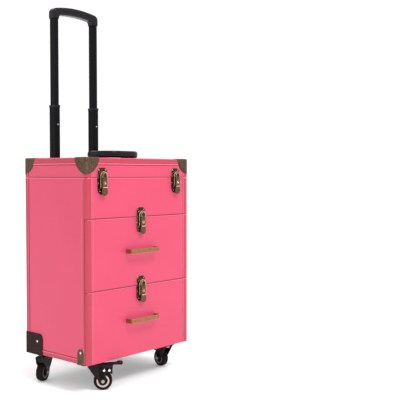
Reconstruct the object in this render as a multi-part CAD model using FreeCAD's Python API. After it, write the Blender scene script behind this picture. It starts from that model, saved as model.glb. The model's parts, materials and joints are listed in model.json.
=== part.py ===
import FreeCAD, Part
import math
import os

os.makedirs("parts", exist_ok=True)

# Rolling makeup case: a leather-covered board case on four swivel casters, with a
# hinged lid over a top tray, two drawers, spring catches, a fold-down carry handle
# and a two-stage telescopic handle on the back.
# Millimetres. +Z is up, the drawers face -Y, and the ground is at Z = 0.

# Case body
case_width = 360.0
case_depth = 240.0
case_height = 500.0
lid_height = 49.0
tray_height = 100.0
seam = 0.8
corner_radius = 5.2
side_wall = 9.0
back_wall = 9.0
front_wall = 9.0
base_board = 9.0
lid_board = 8.0
lid_edge_radius = 3.0
tray_floor_board = 6.0
shelf_board = 6.0
lid_side_gap = 1.0

# Drawers and their runners
drawer_face = 5.6
drawer_face_gap = 1.6
drawer_travel = 150.0
box_wall = 7.0
box_floor = 4.0
box_top_gap = 11.0
box_lift = 2.5
box_back_gap = 6.0
runner_space = 12.0
runner_start = 20.0
runner_length = 200.0
runner_height = 30.0
runner_sheet = 1.2
runner_lip = 9.5
runner_rise = 62.0
runner_play = 0.3

# Strap pulls on the drawers
pull_length = 103.0
pull_reach = 22.0
pull_lean = 2.0
pull_height = 11.0
pull_sheet = 2.6
pull_bend = 6.0
pull_rise = 3.0

# Catches that bridge the seams
catch_width = 30.0
catch_drop = 41.0
catch_rise = 24.8
catch_sheet = 1.2
catch_shoulder = 13.0
catch_gap = 0.6
keeper_corner = 10.0
keeper_rim_rise = 3.4
crown_gap = 0.5
crown_chamfer = 1.2
cheek_span = 23.4
cheek_sheet = 2.2
cheek_reach = 8.0
cheek_drop = 30.0
lever_width = 15.2
lever_sheet = 2.5
lever_stand = 8.6
lever_pivot_drop = 23.4
lever_pivot_reach = 5.2
lever_pin_radius = 1.5
lever_pin_end = 1.2
lever_ear = 2.0
lever_top_gap = 0.4
lever_neck_drop = 2.5
lever_waist_drop = 9.5
lever_boss_wall = 1.4
lever_rib_height = 2.2
lever_rib_proud = 1.2
tongue_width = 17.6
tongue_drop = 43.6
stud_drop = 13.4
stud_radius = 2.3
stud_proud = 1.4
stud_root = 0.5
catch_inset = 50.0

# Bronze corner caps, side tabs and rear guards
cap_reach = 41.0
cap_bulge = 5.0
cap_sheet = 1.2
tab_width = 25.4
tab_height = 38.7
tab_setback = 9.8
tab_sheet = 1.2
tab_fold = 18.0
guard_length = 69.5
guard_height = 53.0
guard_radius = 13.0
guard_sheet = 2.2
guard_fold = 12.0
rivet_radius = 3.0
rivet_rim = 0.4
rivet_head = 1.2
rivet_flat = 1.7
tab_rivet_drop = 9.7
guard_rivet_inset = 20.0

# Piano hinge at the top back edge
hinge_length = 262.0
hinge_leaf = 22.0
hinge_sheet = 1.0
knuckle_radius = 2.4
knuckle_count = 9
knuckle_gap = 0.4
hinge_pin_radius = 1.1
pin_play = 0.04

# Carry handle
handle_span = 113.5
handle_leg = 16.0
handle_thick = 18.0
handle_height = 70.5
handle_grip = 23.0
handle_pivot_rise = 11.2
handle_outer_bend = 45.0
handle_inner_bend = 21.5
handle_edge = 5.5
handle_pin_radius = 2.5
handle_slot = 5.0
handle_lug_play = 0.3
bracket_length = 30.0
bracket_width = 22.0
bracket_sheet = 1.6
bracket_lug_gap = 1.0

# Telescopic handle
tube_spacing = 136.5
tube_standoff = 18.5
mid_width = 16.5
mid_depth = 27.5
mid_wall = 1.1
mid_radius = 3.0
upper_width = 13.2
upper_depth = 22.4
upper_radius = 2.2
upper_wall = 1.2
outer_wall = 1.2
outer_play = 0.5
bezel_drop = 38.0
collar_height = 6.0
collar_lip = 2.0
collar_proud = 1.0
collar_play = 0.3
mid_travel = 177.5
mid_length = 290.0
upper_travel = 231.5
upper_overlap = 50.0
stage_gap = 0.5
bezel_height = 32.0
bezel_wall = 1.8
bezel_lip = 3.0
bezel_play = 0.4
bezel_wing = 14.0
bezel_wing_thick = 5.0
bezel_bridge = 15.0
foot_height = 24.0
foot_floor = 3.0
foot_level = 140.0
stop_rivet_radius = 2.6
stop_rivet_proud = 0.25
stop_rivet_drop = 52.0
grip_height = 35.0
grip_wall = 3.0
grip_thick = 26.0
grip_beam = 21.0
grip_shoulder = 9.0
grip_corner = 13.0
grip_inner_corner = 7.0
grip_edge = 5.0
tube_seat = 14.0
button_length = 34.0
button_width = 11.0
button_proud = 1.0
button_depth = 9.0
button_travel = 3.5
button_play = 0.3
button_chamfer = 0.8
button_end_flat = 0.5

# Casters
caster_height = 72.0
caster_inset_side = 42.0
caster_inset_end = 36.0
wheel_radius = 23.0
wheel_width = 18.0
trail = 30.0
tyre_inner = 16.0
tyre_chamfer = 3.5
hub_width = 15.0
hub_ring_inner = 11.5
hub_ring_proud = 1.0
hub_boss_radius = 6.0
hub_web_inset = 3.0
axle_radius = 3.0
axle_play = 0.05
axle_head_radius = 4.5
axle_head = 1.5
wheel_side_gap = 0.8
fork_leg = 2.5
fork_web = 4.0
fork_web_drop = 5.0
fork_eye = 7.0
fork_waist = 21.5
fork_waist_rise = 14.0
fork_back_rise = 18.4
fork_cheek_margin = 5.0
fork_hood_inset = 11.5
fork_round = 3.0
fork_web_gap = 2.0
race_radius = 19.0
race_chamfer = 1.5
race_gap = 0.5
plate_size = 44.0
plate_sheet = 2.5
plate_corner = 5.0
kingpin_radius = 4.0
kingpin_head_radius = 6.5
kingpin_head = 3.0
kingpin_gap = 0.3
brake_pivot_along = 46.0
brake_pivot_level = 50.0
brake_pin_radius = 2.0
brake_pin_head = 3.2
brake_spacer_along = 33.0
brake_width = 14.0
brake_tip_along = 79.5
brake_tip_radius = 6.5
brake_pad_level = 66.5
brake_pad_sheet = 4.0
brake_toe_length = 18.5
brake_toe_rise = 3.0
brake_toe_thick = 8.0
brake_toe_round = 3.5
brake_bend = 3.0
brake_edge = 1.0
brake_shoe_level = 39.5
brake_shoe_height = 4.0
brake_shoe_thick = 4.5
brake_shoe_gap = 2.2
brake_arm = 4.8

# Where each caster's wheel trails, in degrees from +X towards +Y
caster_headings = {
    "front_left": -42.7,
    "front_right": 80.0,
    "rear_left": 205.0,
    "rear_right": 130.0,
}

# Places that follow from the sizes above
half_width = case_width / 2
inner_half = half_width - side_wall
half_seam = seam / 2
sleeve_width = mid_width + 2 * (outer_play + outer_wall + bezel_wall)
sleeve_depth = mid_depth + 2 * (outer_play + outer_wall + bezel_wall)
back_reach = tube_standoff + sleeve_depth / 2
y_front = -(case_depth + back_reach - pull_reach) / 2
y_back = y_front + case_depth
z_base = caster_height
z_top = z_base + case_height
z_lid = z_top - lid_height
z_tray = z_lid - tray_height
z_shelf = (z_base + z_tray) / 2
y_recess = y_front + drawer_face + drawer_face_gap
y_inner_back = y_back - back_wall
hinge_y = y_back + hinge_sheet / 2
hinge_z = z_top + hinge_sheet / 2
tube_y = y_back + tube_standoff
catch_x = half_width - catch_inset
handle_pivot = (0, y_front + case_depth / 2, z_top + handle_pivot_rise)
tube_x = tube_spacing / 2
bezel_top = z_top - bezel_drop
joint_z = bezel_top + stage_gap + mid_travel + collar_height
socket_z = joint_z + stage_gap + upper_travel
grip_z = socket_z + grip_height
foot_low = z_base + foot_level
outer_low = foot_low + foot_floor
outer_high = bezel_top - bezel_lip
outer_grow = outer_play + outer_wall
fork_inside = wheel_width / 2 + wheel_side_gap
fork_outside = fork_inside + fork_leg
race_top = caster_height - plate_sheet - race_gap
web_top = race_top - fork_web_drop
web_low = web_top - fork_web


def vec(x, y, z):
    return FreeCAD.Vector(x, y, z)


def box(x0, x1, y0, y1, z0, z1):
    return Part.makeBox(x1 - x0, y1 - y0, z1 - z0, vec(x0, y0, z0))


def rod(radius, start, direction, length):
    return Part.makeCylinder(radius, length, vec(*start), vec(*direction))


def moved(shape, x, y, z):
    copy = shape.copy()
    copy.translate(vec(x, y, z))
    return copy


def turned(shape, centre, axis, degrees):
    copy = shape.copy()
    copy.rotate(vec(*centre), vec(*axis), degrees)
    return copy


def mirrored_x(shape):
    return shape.mirror(vec(0, 0, 0), vec(1, 0, 0))


def line(a, b):
    return Part.LineSegment(vec(*a), vec(*b)).toShape()


def arc(a, b, c):
    return Part.Arc(vec(*a), vec(*b), vec(*c)).toShape()


def extrude(edges, direction):
    face = Part.Face(Part.Wire(Part.__sortEdges__(edges)))
    return face.extrude(vec(*direction))


def polygon(points, direction):
    closed = [vec(*p) for p in points] + [vec(*points[0])]
    return Part.Face(Part.makePolygon(closed)).extrude(vec(*direction))


def rounded_outline(corners, place, direction):
    """Extrude a closed outline of straight sides, where each corner is (a, b, radius)."""
    bends = []
    for i, (a, b, radius) in enumerate(corners):
        here = vec(a, b, 0)
        to_last = (vec(corners[i - 1][0], corners[i - 1][1], 0) - here).normalize()
        following = corners[(i + 1) % len(corners)]
        to_next = (vec(following[0], following[1], 0) - here).normalize()
        half_angle = to_last.getAngle(to_next) / 2
        tangent = radius / math.tan(half_angle)
        middle = (to_last + to_next).normalize() * (radius / math.sin(half_angle) - radius)
        bends.append((here + to_last * tangent, here + middle, here + to_next * tangent, radius))
    edges = []
    for i, (start, middle, end, radius) in enumerate(bends):
        if radius > 0:
            edges.append(arc(place(start), place(middle), place(end)))
        next_start = bends[(i + 1) % len(bends)][0]
        if end.distanceToPoint(next_start) > 1e-6:
            edges.append(line(place(end), place(next_start)))
    return extrude(edges, direction)


def side_on(y):
    """Outline (a, b) placed in the plane at this Y, as (X, Z)."""
    return lambda p: (p.x, y, p.y)


def flat_at(z):
    """Outline (a, b) placed in the plane at this Z, as (X, Y)."""
    return lambda p: (p.x, p.y, z)


def straight_edges(shape, axis, test):
    """Straight edges along one axis whose middle passes the test."""
    found = []
    for edge in shape.Edges:
        if not isinstance(edge.Curve, Part.Line):
            continue
        run = edge.Vertexes[-1].Point.sub(edge.Vertexes[0].Point)
        run.normalize()
        if abs(abs(run.dot(vec(*axis))) - 1) < 1e-6 and test(edge.CenterOfMass):
            found.append(edge)
    return found


def round_upright(shape, radius, test):
    return shape.makeFillet(radius, straight_edges(shape, (0, 0, 1), test))


def rounded_bar(x, y, width, depth, radius, z0, z1):
    """Upright bar with a rounded rectangle for its section."""
    bar = box(x - width / 2, x + width / 2, y - depth / 2, y + depth / 2, z0, z1)
    return round_upright(bar, radius, lambda p: True)


def export(name, solids):
    if len(solids) == 1:
        shape = solids[0]
    else:
        shape = Part.makeCompound(solids)
    shape.exportStep("parts/" + name + ".step")
    bad = [s for s in solids if not s.isValid() or len(s.Solids) != 1]
    volume = sum(s.Volume for s in solids)
    print(name, len(solids), "solids", round(volume / 1000, 2), "cm3", "BAD" if bad else "")


# Carcass boards

def side_panel():
    profile = [
        (inner_half, y_recess, z_base),
        (inner_half, y_back, z_base),
        (inner_half, y_back, z_lid - half_seam),
        (inner_half, y_front, z_lid - half_seam),
        (inner_half, y_front, z_tray + half_seam),
        (inner_half, y_recess, z_tray + half_seam),
    ]
    panel = polygon(profile, (side_wall, 0, 0))

    def outer_corner(p):
        at_front = abs(p.y - y_front) < 0.01
        at_back = abs(p.y - y_back) < 0.01
        return abs(p.x - half_width) < 0.01 and (at_front or at_back)

    return round_upright(panel, corner_radius, outer_corner)


def back_panel():
    board = box(-inner_half, inner_half, y_inner_back, y_back, z_base, z_lid - half_seam)
    tongue_half = inner_half - lid_side_gap
    tongue_top = z_top - lid_board - lid_side_gap
    tongue = box(-tongue_half, tongue_half, y_inner_back, y_back, z_lid - half_seam, tongue_top)
    return board.fuse(tongue).removeSplitter()


def lid_side():
    rail = box(inner_half, half_width, y_front, y_back, z_lid + half_seam, z_top - lid_board)
    return round_upright(rail, corner_radius, lambda p: abs(p.x - half_width) < 0.01)


def lid_top():
    board = box(-half_width, half_width, y_front, y_back, z_top - lid_board, z_top)
    board = round_upright(board, corner_radius, lambda p: True)
    rim = []
    for edge in board.Edges:
        middle = edge.CenterOfMass
        on_top = abs(middle.z - z_top) < 0.01
        at_back = abs(middle.y - y_back) < 0.01
        if on_top and not at_back and edge.Length < case_width:
            if middle.y < y_back - corner_radius:
                rim.append(edge)
    board = board.makeFillet(lid_edge_radius, rim)
    cove_half = hinge_length / 2 + seam
    cove = rod(knuckle_radius + knuckle_gap, (-cove_half, hinge_y, hinge_z), (1, 0, 0), 2 * cove_half)
    rear_relief = box(
        -cove_half, cove_half, y_back - knuckle_gap, y_back + seam, z_top - 2 * lid_board, z_top + seam
    )
    return board.cut(cove).cut(rear_relief)


export("side_panel_left", [mirrored_x(side_panel())])
export("side_panel_right", [side_panel()])
export("back_panel", [back_panel()])
export("bottom_panel", [box(-inner_half, inner_half, y_recess, y_inner_back, z_base, z_base + base_board)])
export(
    "tray_front",
    [box(-inner_half, inner_half, y_front, y_front + front_wall, z_tray + half_seam, z_lid - half_seam)],
)
tray_floor_top = z_tray + half_seam + tray_floor_board
export(
    "tray_floor",
    [box(-inner_half, inner_half, y_front + front_wall, y_inner_back, z_tray + half_seam, tray_floor_top)],
)
shelf_low = z_shelf - shelf_board / 2
shelf_high = z_shelf + shelf_board / 2
export("drawer_shelf", [box(-inner_half, inner_half, y_recess, y_inner_back, shelf_low, shelf_high)])

export("lid_top", [lid_top()])
export(
    "lid_front",
    [box(-inner_half, inner_half, y_front, y_front + front_wall, z_lid + half_seam, z_top - lid_board)],
)
export("lid_sides", [mirrored_x(lid_side()), lid_side()])


# Piano hinge: knuckles alternate between the two leaves on one pin

def hinge_leaf_solid(first_knuckle, plate):
    pitch = hinge_length / knuckle_count
    own = []
    other = []
    for i in range(knuckle_count):
        x0 = -hinge_length / 2 + i * pitch
        if i % 2 == first_knuckle:
            length = pitch - knuckle_gap
            own.append(rod(knuckle_radius, (x0 + knuckle_gap / 2, hinge_y, hinge_z), (1, 0, 0), length))
        else:
            clear = rod(knuckle_radius + knuckle_gap, (x0, hinge_y, hinge_z), (1, 0, 0), pitch)
            other.append(clear)
    leaf = plate
    for clear in other:
        leaf = leaf.cut(clear)
    leaf = leaf.fuse(own).removeSplitter()
    start = (-hinge_length / 2 - seam, hinge_y, hinge_z)
    return leaf.cut(rod(hinge_pin_radius + pin_play, start, (1, 0, 0), hinge_length + 2 * seam))


half_hinge = hinge_length / 2 - knuckle_gap / 2
leaf_low = hinge_z - hinge_leaf - lid_board
body_plate = box(-half_hinge, half_hinge, y_back, y_back + hinge_sheet, leaf_low, hinge_z)
lid_plate = box(-half_hinge, half_hinge, hinge_y - hinge_leaf, hinge_y, z_top, z_top + hinge_sheet)
export("hinge_leaf_body", [hinge_leaf_solid(0, body_plate)])
export("hinge_leaf_lid", [hinge_leaf_solid(1, lid_plate)])
export("hinge_pin", [rod(hinge_pin_radius, (-hinge_length / 2, hinge_y, hinge_z), (1, 0, 0), hinge_length)])


# Bronze caps on the lid's corners

def corner_block(grow):
    """The lid's corner with its corner point at the origin, grown outwards."""
    size = cap_reach + cap_bulge
    block = box(-size, grow, -size, grow, -size, grow)
    upright = straight_edges(block, (0, 0, 1), lambda p: abs(p.x - grow) < 0.01 and abs(p.y - grow) < 0.01)
    block = block.makeFillet(corner_radius + grow, upright)
    rim = []
    for edge in block.Edges:
        middle = edge.CenterOfMass
        if abs(middle.z - grow) < 0.01 and (middle.x > -size / 2 - 1e-6 or middle.y > -size / 2 - 1e-6):
            if middle.x > -size + 0.01 and middle.y > -size + 0.01:
                rim.append(edge)
    return block.makeFillet(lid_edge_radius + grow, rim)


def corner_cap(at_back):
    shell = corner_block(cap_sheet).cut(corner_block(0))
    # A ball centred just outside the corner gives the three lobes their round ends.
    ball_radius = math.sqrt((cap_reach + cap_bulge) ** 2 + 2 * cap_bulge**2)
    ball = Part.makeSphere(ball_radius, vec(cap_bulge, cap_bulge, cap_bulge))
    cap = shell.common(ball)
    if at_back:
        # The back lobe is only as wide as the lid's side rail, which leaves the
        # back board free between the rails.
        size = cap_reach + cap_bulge
        spare = box(-size, -side_wall, -lid_edge_radius, size, -size, -lid_board)
        spare = spare.fuse(box(-size, -side_wall, -lid_edge_radius, size, -size, size))
        cap = cap.cut(spare)
    return max(cap.Solids, key=lambda s: s.Volume)


front_cap = corner_cap(False).mirror(vec(0, 0, 0), vec(0, 1, 0))
front_cap = moved(front_cap, half_width, y_front, z_top)
back_cap = moved(corner_cap(True), half_width, y_back, z_top)
export("lid_corner_caps", [front_cap, mirrored_x(front_cap), back_cap, mirrored_x(back_cap)])


# Side tabs and rear guards at the bottom corners

def side_tab():
    y0 = y_front + tab_setback
    y1 = y0 + tab_width
    top = z_base + tab_height
    shoulder = top - tab_width / 2
    edges = [
        line((half_width, y0, z_base - tab_sheet), (half_width, y1, z_base - tab_sheet)),
        line((half_width, y1, z_base - tab_sheet), (half_width, y1, shoulder)),
        arc((half_width, y1, shoulder), (half_width, (y0 + y1) / 2, top), (half_width, y0, shoulder)),
        line((half_width, y0, shoulder), (half_width, y0, z_base - tab_sheet)),
    ]
    upright = extrude(edges, (tab_sheet, 0, 0))
    foot = box(half_width - tab_fold, half_width, y0, y1, z_base - tab_sheet, z_base)
    return upright.fuse(foot).removeSplitter()


def rear_guard():
    low = z_base - guard_sheet
    y0 = y_back - guard_length
    y1 = y_back + guard_sheet
    x1 = half_width + guard_sheet
    top = z_base + guard_height
    block = box(x1 - guard_length, x1, y0, y1, low, top)
    block = round_upright(
        block, corner_radius + guard_sheet, lambda p: abs(p.x - x1) < 0.01 and abs(p.y - y1) < 0.01
    )
    x0 = half_width - guard_fold
    core = box(x0 - guard_length, half_width, y0 - seam, y_back, z_base, z_base + 2 * guard_height)
    core = round_upright(
        core, corner_radius, lambda p: abs(p.x - half_width) < 0.01 and abs(p.y - y_back) < 0.01
    )
    guard = block.cut(core)
    # The rounded upper front corner of the side lobe, and the same on the back lobe.
    bend = top - guard_radius
    side_trim = box(0, x1 + seam, y0 - seam, y0 + guard_radius, bend, top + seam)
    side_trim = side_trim.cut(rod(guard_radius, (0, y0 + guard_radius, bend), (1, 0, 0), 2 * half_width))
    keep_x = half_width - guard_length
    back_start = (keep_x + guard_radius, y_back - guard_length, bend)
    back_trim = box(keep_x - seam, keep_x + guard_radius, y_back - seam, y1 + seam, bend, top + seam)
    back_trim = back_trim.cut(rod(guard_radius, back_start, (0, 1, 0), 2 * guard_length))
    under = box(0, half_width - guard_fold, y0 - seam, y_back - guard_fold, low - seam, z_base)
    beyond = box(0, keep_x, y0 - seam, y1 + seam, low - seam, top + seam)
    guard = guard.cut(side_trim).cut(back_trim).cut(under).cut(beyond)
    return max(guard.Solids, key=lambda s: s.Volume)


def rivet_on_side(y, z, sheet):
    """Head with a short rim and a sloping crown, on the right side's metal sheet."""
    face = half_width + sheet
    rim = rod(rivet_radius, (face, y, z), (1, 0, 0), rivet_rim)
    crown_start = vec(face + rivet_rim, y, z)
    crown = Part.makeCone(rivet_radius, rivet_flat, rivet_head - rivet_rim, crown_start, vec(1, 0, 0))
    return rim.fuse(crown).removeSplitter()


tab_middle = y_front + tab_setback + tab_width / 2
tab_rivet = rivet_on_side(tab_middle, z_base + tab_height - tab_rivet_drop, tab_sheet)
guard_rivet_y = y_back - guard_length + guard_rivet_inset
guard_rivet = rivet_on_side(guard_rivet_y, z_base + guard_height - guard_rivet_inset, guard_sheet)
export("side_tabs", [side_tab(), mirrored_x(side_tab())])
export("rear_guards", [rear_guard(), mirrored_x(rear_guard())])
export("edge_rivets", [tab_rivet, mirrored_x(tab_rivet), guard_rivet, mirrored_x(guard_rivet)])


# Catches: a base plate with two cheeks below the seam, a keeper above it, and a
# lever that rocks on a pin through the cheeks.

def catch_base():
    half = catch_width / 2
    low = -catch_drop + catch_shoulder
    edges = [
        line((-half, 0, -catch_gap), (half, 0, -catch_gap)),
        line((half, 0, -catch_gap), (half, 0, low)),
        arc((half, 0, low), (0, 0, -catch_drop), (-half, 0, low)),
        line((-half, 0, low), (-half, 0, -catch_gap)),
    ]
    base = extrude(edges, (0, -catch_sheet, 0))
    x0 = cheek_span / 2 - cheek_sheet
    foot = -cheek_drop + cheek_reach - catch_sheet
    cheek = polygon(
        [
            (x0, 0, -catch_gap),
            (x0, -cheek_reach, -catch_gap),
            (x0, -cheek_reach, foot),
            (x0, -catch_sheet, -cheek_drop),
            (x0, 0, -cheek_drop),
        ],
        (cheek_sheet, 0, 0),
    )
    base = base.fuse([cheek, mirrored_x(cheek)]).removeSplitter()
    return base.cut(catch_pin())


def catch_pin():
    half = cheek_span / 2 + lever_pin_end
    return rod(lever_pin_radius, (-half, -lever_pivot_reach, -lever_pivot_drop), (1, 0, 0), 2 * half)


def arch(width, z0, top, reach):
    """Upright block with a round top, standing on the panel face."""
    radius = width / 2
    edges = [
        line((-radius, 0, z0), (radius, 0, z0)),
        line((radius, 0, z0), (radius, 0, top - radius)),
        arc((radius, 0, top - radius), (0, 0, top), (-radius, 0, top - radius)),
        line((-radius, 0, top - radius), (-radius, 0, z0)),
    ]
    return extrude(edges, (0, -reach, 0))


def catch_keeper():
    half = catch_width / 2
    corners = [
        (-half, catch_gap, 0),
        (half, catch_gap, 0),
        (half, catch_rise, keeper_corner),
        (-half, catch_rise, keeper_corner),
    ]
    plate = rounded_outline(corners, side_on(0), (0, -catch_sheet, 0))
    rim_top = catch_gap + cheek_span / 2 + keeper_rim_rise
    rim = arch(cheek_span, catch_gap, rim_top, cheek_reach)
    rim = rim.cut(arch(cheek_span - 2 * cheek_sheet, 0, rim_top - cheek_sheet, cheek_reach))
    crown_face = lever_stand + lever_sheet
    crown = arch(lever_width, catch_gap, rim_top - cheek_sheet - crown_gap, crown_face)
    crown_edges = []
    for edge in crown.Edges:
        middle = edge.CenterOfMass
        if abs(middle.y + crown_face) < 0.01 and abs(middle.z - catch_gap) > 0.01:
            crown_edges.append(edge)
    crown = crown.makeChamfer(crown_chamfer, crown_edges)
    return plate.fuse([rim, crown]).removeSplitter()


def catch_lever():
    half = lever_width / 2
    flare = tongue_width / 2
    top = -catch_gap - lever_top_gap
    neck = -lever_pivot_drop - lever_neck_drop
    waist = -lever_pivot_drop - lever_waist_drop
    outline = [
        line((-half, 0, top), (half, 0, top)),
        line((half, 0, top), (half, 0, neck)),
        line((half, 0, neck), (flare, 0, waist)),
        arc((flare, 0, waist), (0, 0, -tongue_drop), (-flare, 0, waist)),
        line((-flare, 0, waist), (-half, 0, neck)),
        line((-half, 0, neck), (-half, 0, top)),
    ]
    lever = moved(extrude(outline, (0, -lever_sheet, 0)), 0, -lever_stand, 0)
    ear_x = half - lever_ear
    pivot_y = -lever_pivot_reach
    pivot_z = -lever_pivot_drop
    boss = lever_pin_radius + lever_boss_wall
    ear = box(ear_x, half, -lever_stand - lever_sheet / 2, pivot_y, pivot_z - boss, pivot_z + boss)
    ear = ear.fuse(rod(boss, (ear_x, pivot_y, pivot_z), (1, 0, 0), lever_ear))
    face = -lever_stand - lever_sheet
    stud = rod(stud_radius, (0, face + stud_root, -stud_drop), (0, -1, 0), stud_root + stud_proud)
    rib_half = lever_rib_height / 2
    rib = box(-half, half, face - lever_rib_proud, face + stud_root, pivot_z - rib_half, pivot_z + rib_half)
    lever = lever.fuse([ear, mirrored_x(ear), stud, rib]).removeSplitter()
    bore_start = (-half - seam, pivot_y, pivot_z)
    return lever.cut(rod(lever_pin_radius + pin_play, bore_start, (1, 0, 0), lever_width + 2 * seam))


def catch_at(shape, x, z):
    return moved(shape, x, y_front, z)


def catch_set(x, z):
    return [catch_at(catch_base(), x, z), catch_at(catch_pin(), x, z)]


catch_places = (-catch_x, catch_x)
export("lid_catch_bases", catch_set(-catch_x, z_lid) + catch_set(catch_x, z_lid))
export("lid_catch_keepers", [catch_at(catch_keeper(), x, z_lid) for x in catch_places])
export("lid_catch_lever_left", [catch_at(catch_lever(), -catch_x, z_lid)])
export("lid_catch_lever_right", [catch_at(catch_lever(), catch_x, z_lid)])


# Drawers

def runner_channel(z):
    """Fixed half of a runner: a channel that opens towards the drawer."""
    x0 = inner_half - runner_lip
    y0 = y_front + runner_start
    half = runner_height / 2
    y1 = y0 + runner_length
    channel = box(x0, inner_half, y0, y1, z - half, z + half)
    inner = half - runner_sheet
    return channel.cut(box(x0 - seam, inner_half - runner_sheet, y0 - seam, y1 + seam, z - inner, z + inner))


def runner_bar(z):
    """Moving half of a runner: a bar on the drawer's side that runs in the channel."""
    half = runner_height / 2 - runner_sheet - runner_play
    y0 = y_front + runner_start
    x1 = inner_half - runner_sheet - 2 * runner_play
    return box(inner_half - runner_space, x1, y0, y0 + runner_length, z - half, z + half)


def drawer_pull():
    """Flat strap bent into a U, with its feet on the drawer's face."""
    half = pull_length / 2
    front = half - pull_lean
    inner_bend = pull_bend - pull_sheet
    near = pull_sheet - pull_reach
    corners = [
        (-half, 0, 0),
        (-front, -pull_reach, pull_bend),
        (front, -pull_reach, pull_bend),
        (half, 0, 0),
        (half - pull_sheet, 0, 0),
        (front - pull_sheet, near, inner_bend),
        (pull_sheet - front, near, inner_bend),
        (pull_sheet - half, 0, 0),
    ]
    return rounded_outline(corners, flat_at(-pull_height / 2), (0, 0, pull_height))


def drawer_face_panel(z0, z1):
    face = box(-half_width, half_width, y_front, y_front + drawer_face, z0, z1)
    return round_upright(face, corner_radius, lambda p: abs(p.y - y_front) < 0.01)


def drawer_box(z0, high):
    """Five boards: a floor with four walls standing on it."""
    outer = inner_half - runner_space
    inner = outer - box_wall
    y0 = y_front + drawer_face
    y1 = y_inner_back - box_back_gap
    low = z0 + box_floor
    floor = box(-outer, outer, y0, y1, z0, low)
    right = box(inner, outer, y0, y1, low, high)
    front = box(-inner, inner, y0, y0 + box_wall, low, high)
    back = box(-inner, inner, y1 - box_wall, y1, low, high)
    return [floor, mirrored_x(right), right, front, back]


# Each drawer's name, its face's lower and upper edge, and the boards under and over it
drawers = [
    ("upper", z_shelf + half_seam, z_tray - half_seam, shelf_high, z_tray + half_seam),
    ("lower", z_base, z_shelf - half_seam, z_base + base_board, shelf_low),
]
channels = []
for name, low, high, floor_level, ceiling_level in drawers:
    box_low = floor_level + box_lift
    rail_z = box_low + runner_rise
    channels += [runner_channel(rail_z), mirrored_x(runner_channel(rail_z))]
    export("drawer_face_" + name, [drawer_face_panel(low, high)])
    export("drawer_box_" + name, drawer_box(box_low, ceiling_level - box_top_gap))
    export("drawer_runners_" + name, [runner_bar(rail_z), mirrored_x(runner_bar(rail_z))])
    pull_z = (low + high) / 2 + pull_rise
    export("drawer_pull_" + name, [moved(drawer_pull(), 0, y_front, pull_z)])
    seam_z = high + half_seam
    export("catch_base_" + name, catch_set(0, seam_z))
    export("catch_keeper_" + name, [catch_at(catch_keeper(), 0, seam_z)])
    export("catch_lever_" + name, [catch_at(catch_lever(), 0, seam_z)])
export("runner_channels", channels)


# Carry handle, modelled upright about its pivot and then folded to the front

def carry_handle():
    half = handle_span / 2
    outer = half + handle_leg / 2
    inner = half - handle_leg / 2
    under = handle_height - handle_grip
    corners = [
        (-outer, 0, 0),
        (-outer, handle_height, handle_outer_bend),
        (outer, handle_height, handle_outer_bend),
        (outer, 0, 0),
        (inner, 0, 0),
        (inner, under, handle_inner_bend),
        (-inner, under, handle_inner_bend),
        (-inner, 0, 0),
    ]
    half_thick = handle_thick / 2
    grip = rounded_outline(corners, side_on(-half_thick), (0, handle_thick, 0))
    rounded = []
    for edge in grip.Edges:
        middle = edge.CenterOfMass
        if abs(abs(middle.y) - half_thick) < 0.01 and middle.z > 0.01:
            rounded.append(edge)
    grip = grip.makeFillet(handle_edge, rounded)
    ends = []
    for side in (-half, half):
        ends.append(rod(half_thick, (side - handle_leg / 2, 0, 0), (1, 0, 0), handle_leg))
    grip = grip.fuse(ends).removeSplitter()
    for side in (-half, half):
        slot_half = handle_slot / 2
        slot_top = half_thick + handle_lug_play
        slot = box(side - slot_half, side + slot_half, -handle_thick, handle_thick, -handle_thick, slot_top)
        bore = rod(handle_pin_radius + pin_play, (side - handle_leg, 0, 0), (1, 0, 0), 2 * handle_leg)
        grip = grip.cut(slot).cut(bore)
    return grip


def handle_bracket(side):
    x = side * handle_span / 2
    y = y_front + case_depth / 2
    pivot_z = z_top + handle_pivot_rise
    lug_half = handle_slot / 2 - handle_lug_play
    lug_radius = handle_thick / 2 - bracket_lug_gap
    base_half = bracket_width / 2
    base_end = bracket_length / 2
    base = box(x - base_half, x + base_half, y - base_end, y + base_end, z_top, z_top + bracket_sheet)
    lug = box(x - lug_half, x + lug_half, y - lug_radius, y + lug_radius, z_top, pivot_z)
    lug = lug.fuse(rod(lug_radius, (x - lug_half, y, pivot_z), (1, 0, 0), 2 * lug_half))
    pin = rod(handle_pin_radius, (x - handle_leg / 2, y, pivot_z), (1, 0, 0), handle_leg)
    bracket = base.fuse(lug).removeSplitter().cut(pin)
    return [bracket, pin]


folded = turned(moved(carry_handle(), *handle_pivot), handle_pivot, (1, 0, 0), 90)
export("carry_handle", [folded])
export("carry_handle_brackets", handle_bracket(-1) + handle_bracket(1))


# Telescopic handle

def mid_section(z0, z1, grow, x):
    width = mid_width + 2 * grow
    depth = mid_depth + 2 * grow
    return rounded_bar(x, tube_y, width, depth, mid_radius + grow, z0, z1)


def upper_section(z0, z1, grow, x):
    width = upper_width + 2 * grow
    depth = upper_depth + 2 * grow
    return rounded_bar(x, tube_y, width, depth, upper_radius + grow, z0, z1)


def outer_tube():
    tube = mid_section(outer_low, outer_high, outer_grow, tube_x)
    return tube.cut(mid_section(outer_low - seam, outer_high + seam, outer_play, tube_x))


def mid_tube():
    low = joint_z - mid_length
    high = joint_z - collar_lip
    tube = mid_section(low, high, 0, tube_x)
    tube = tube.cut(mid_section(low - seam, high + seam, -mid_wall, tube_x))
    return tube.cut(stop_rivet())


def stop_rivet():
    y = tube_y - mid_depth / 2 - stop_rivet_proud
    return rod(
        stop_rivet_radius, (tube_x, y, joint_z - stop_rivet_drop), (0, 1, 0), mid_wall + stop_rivet_proud
    )


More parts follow.
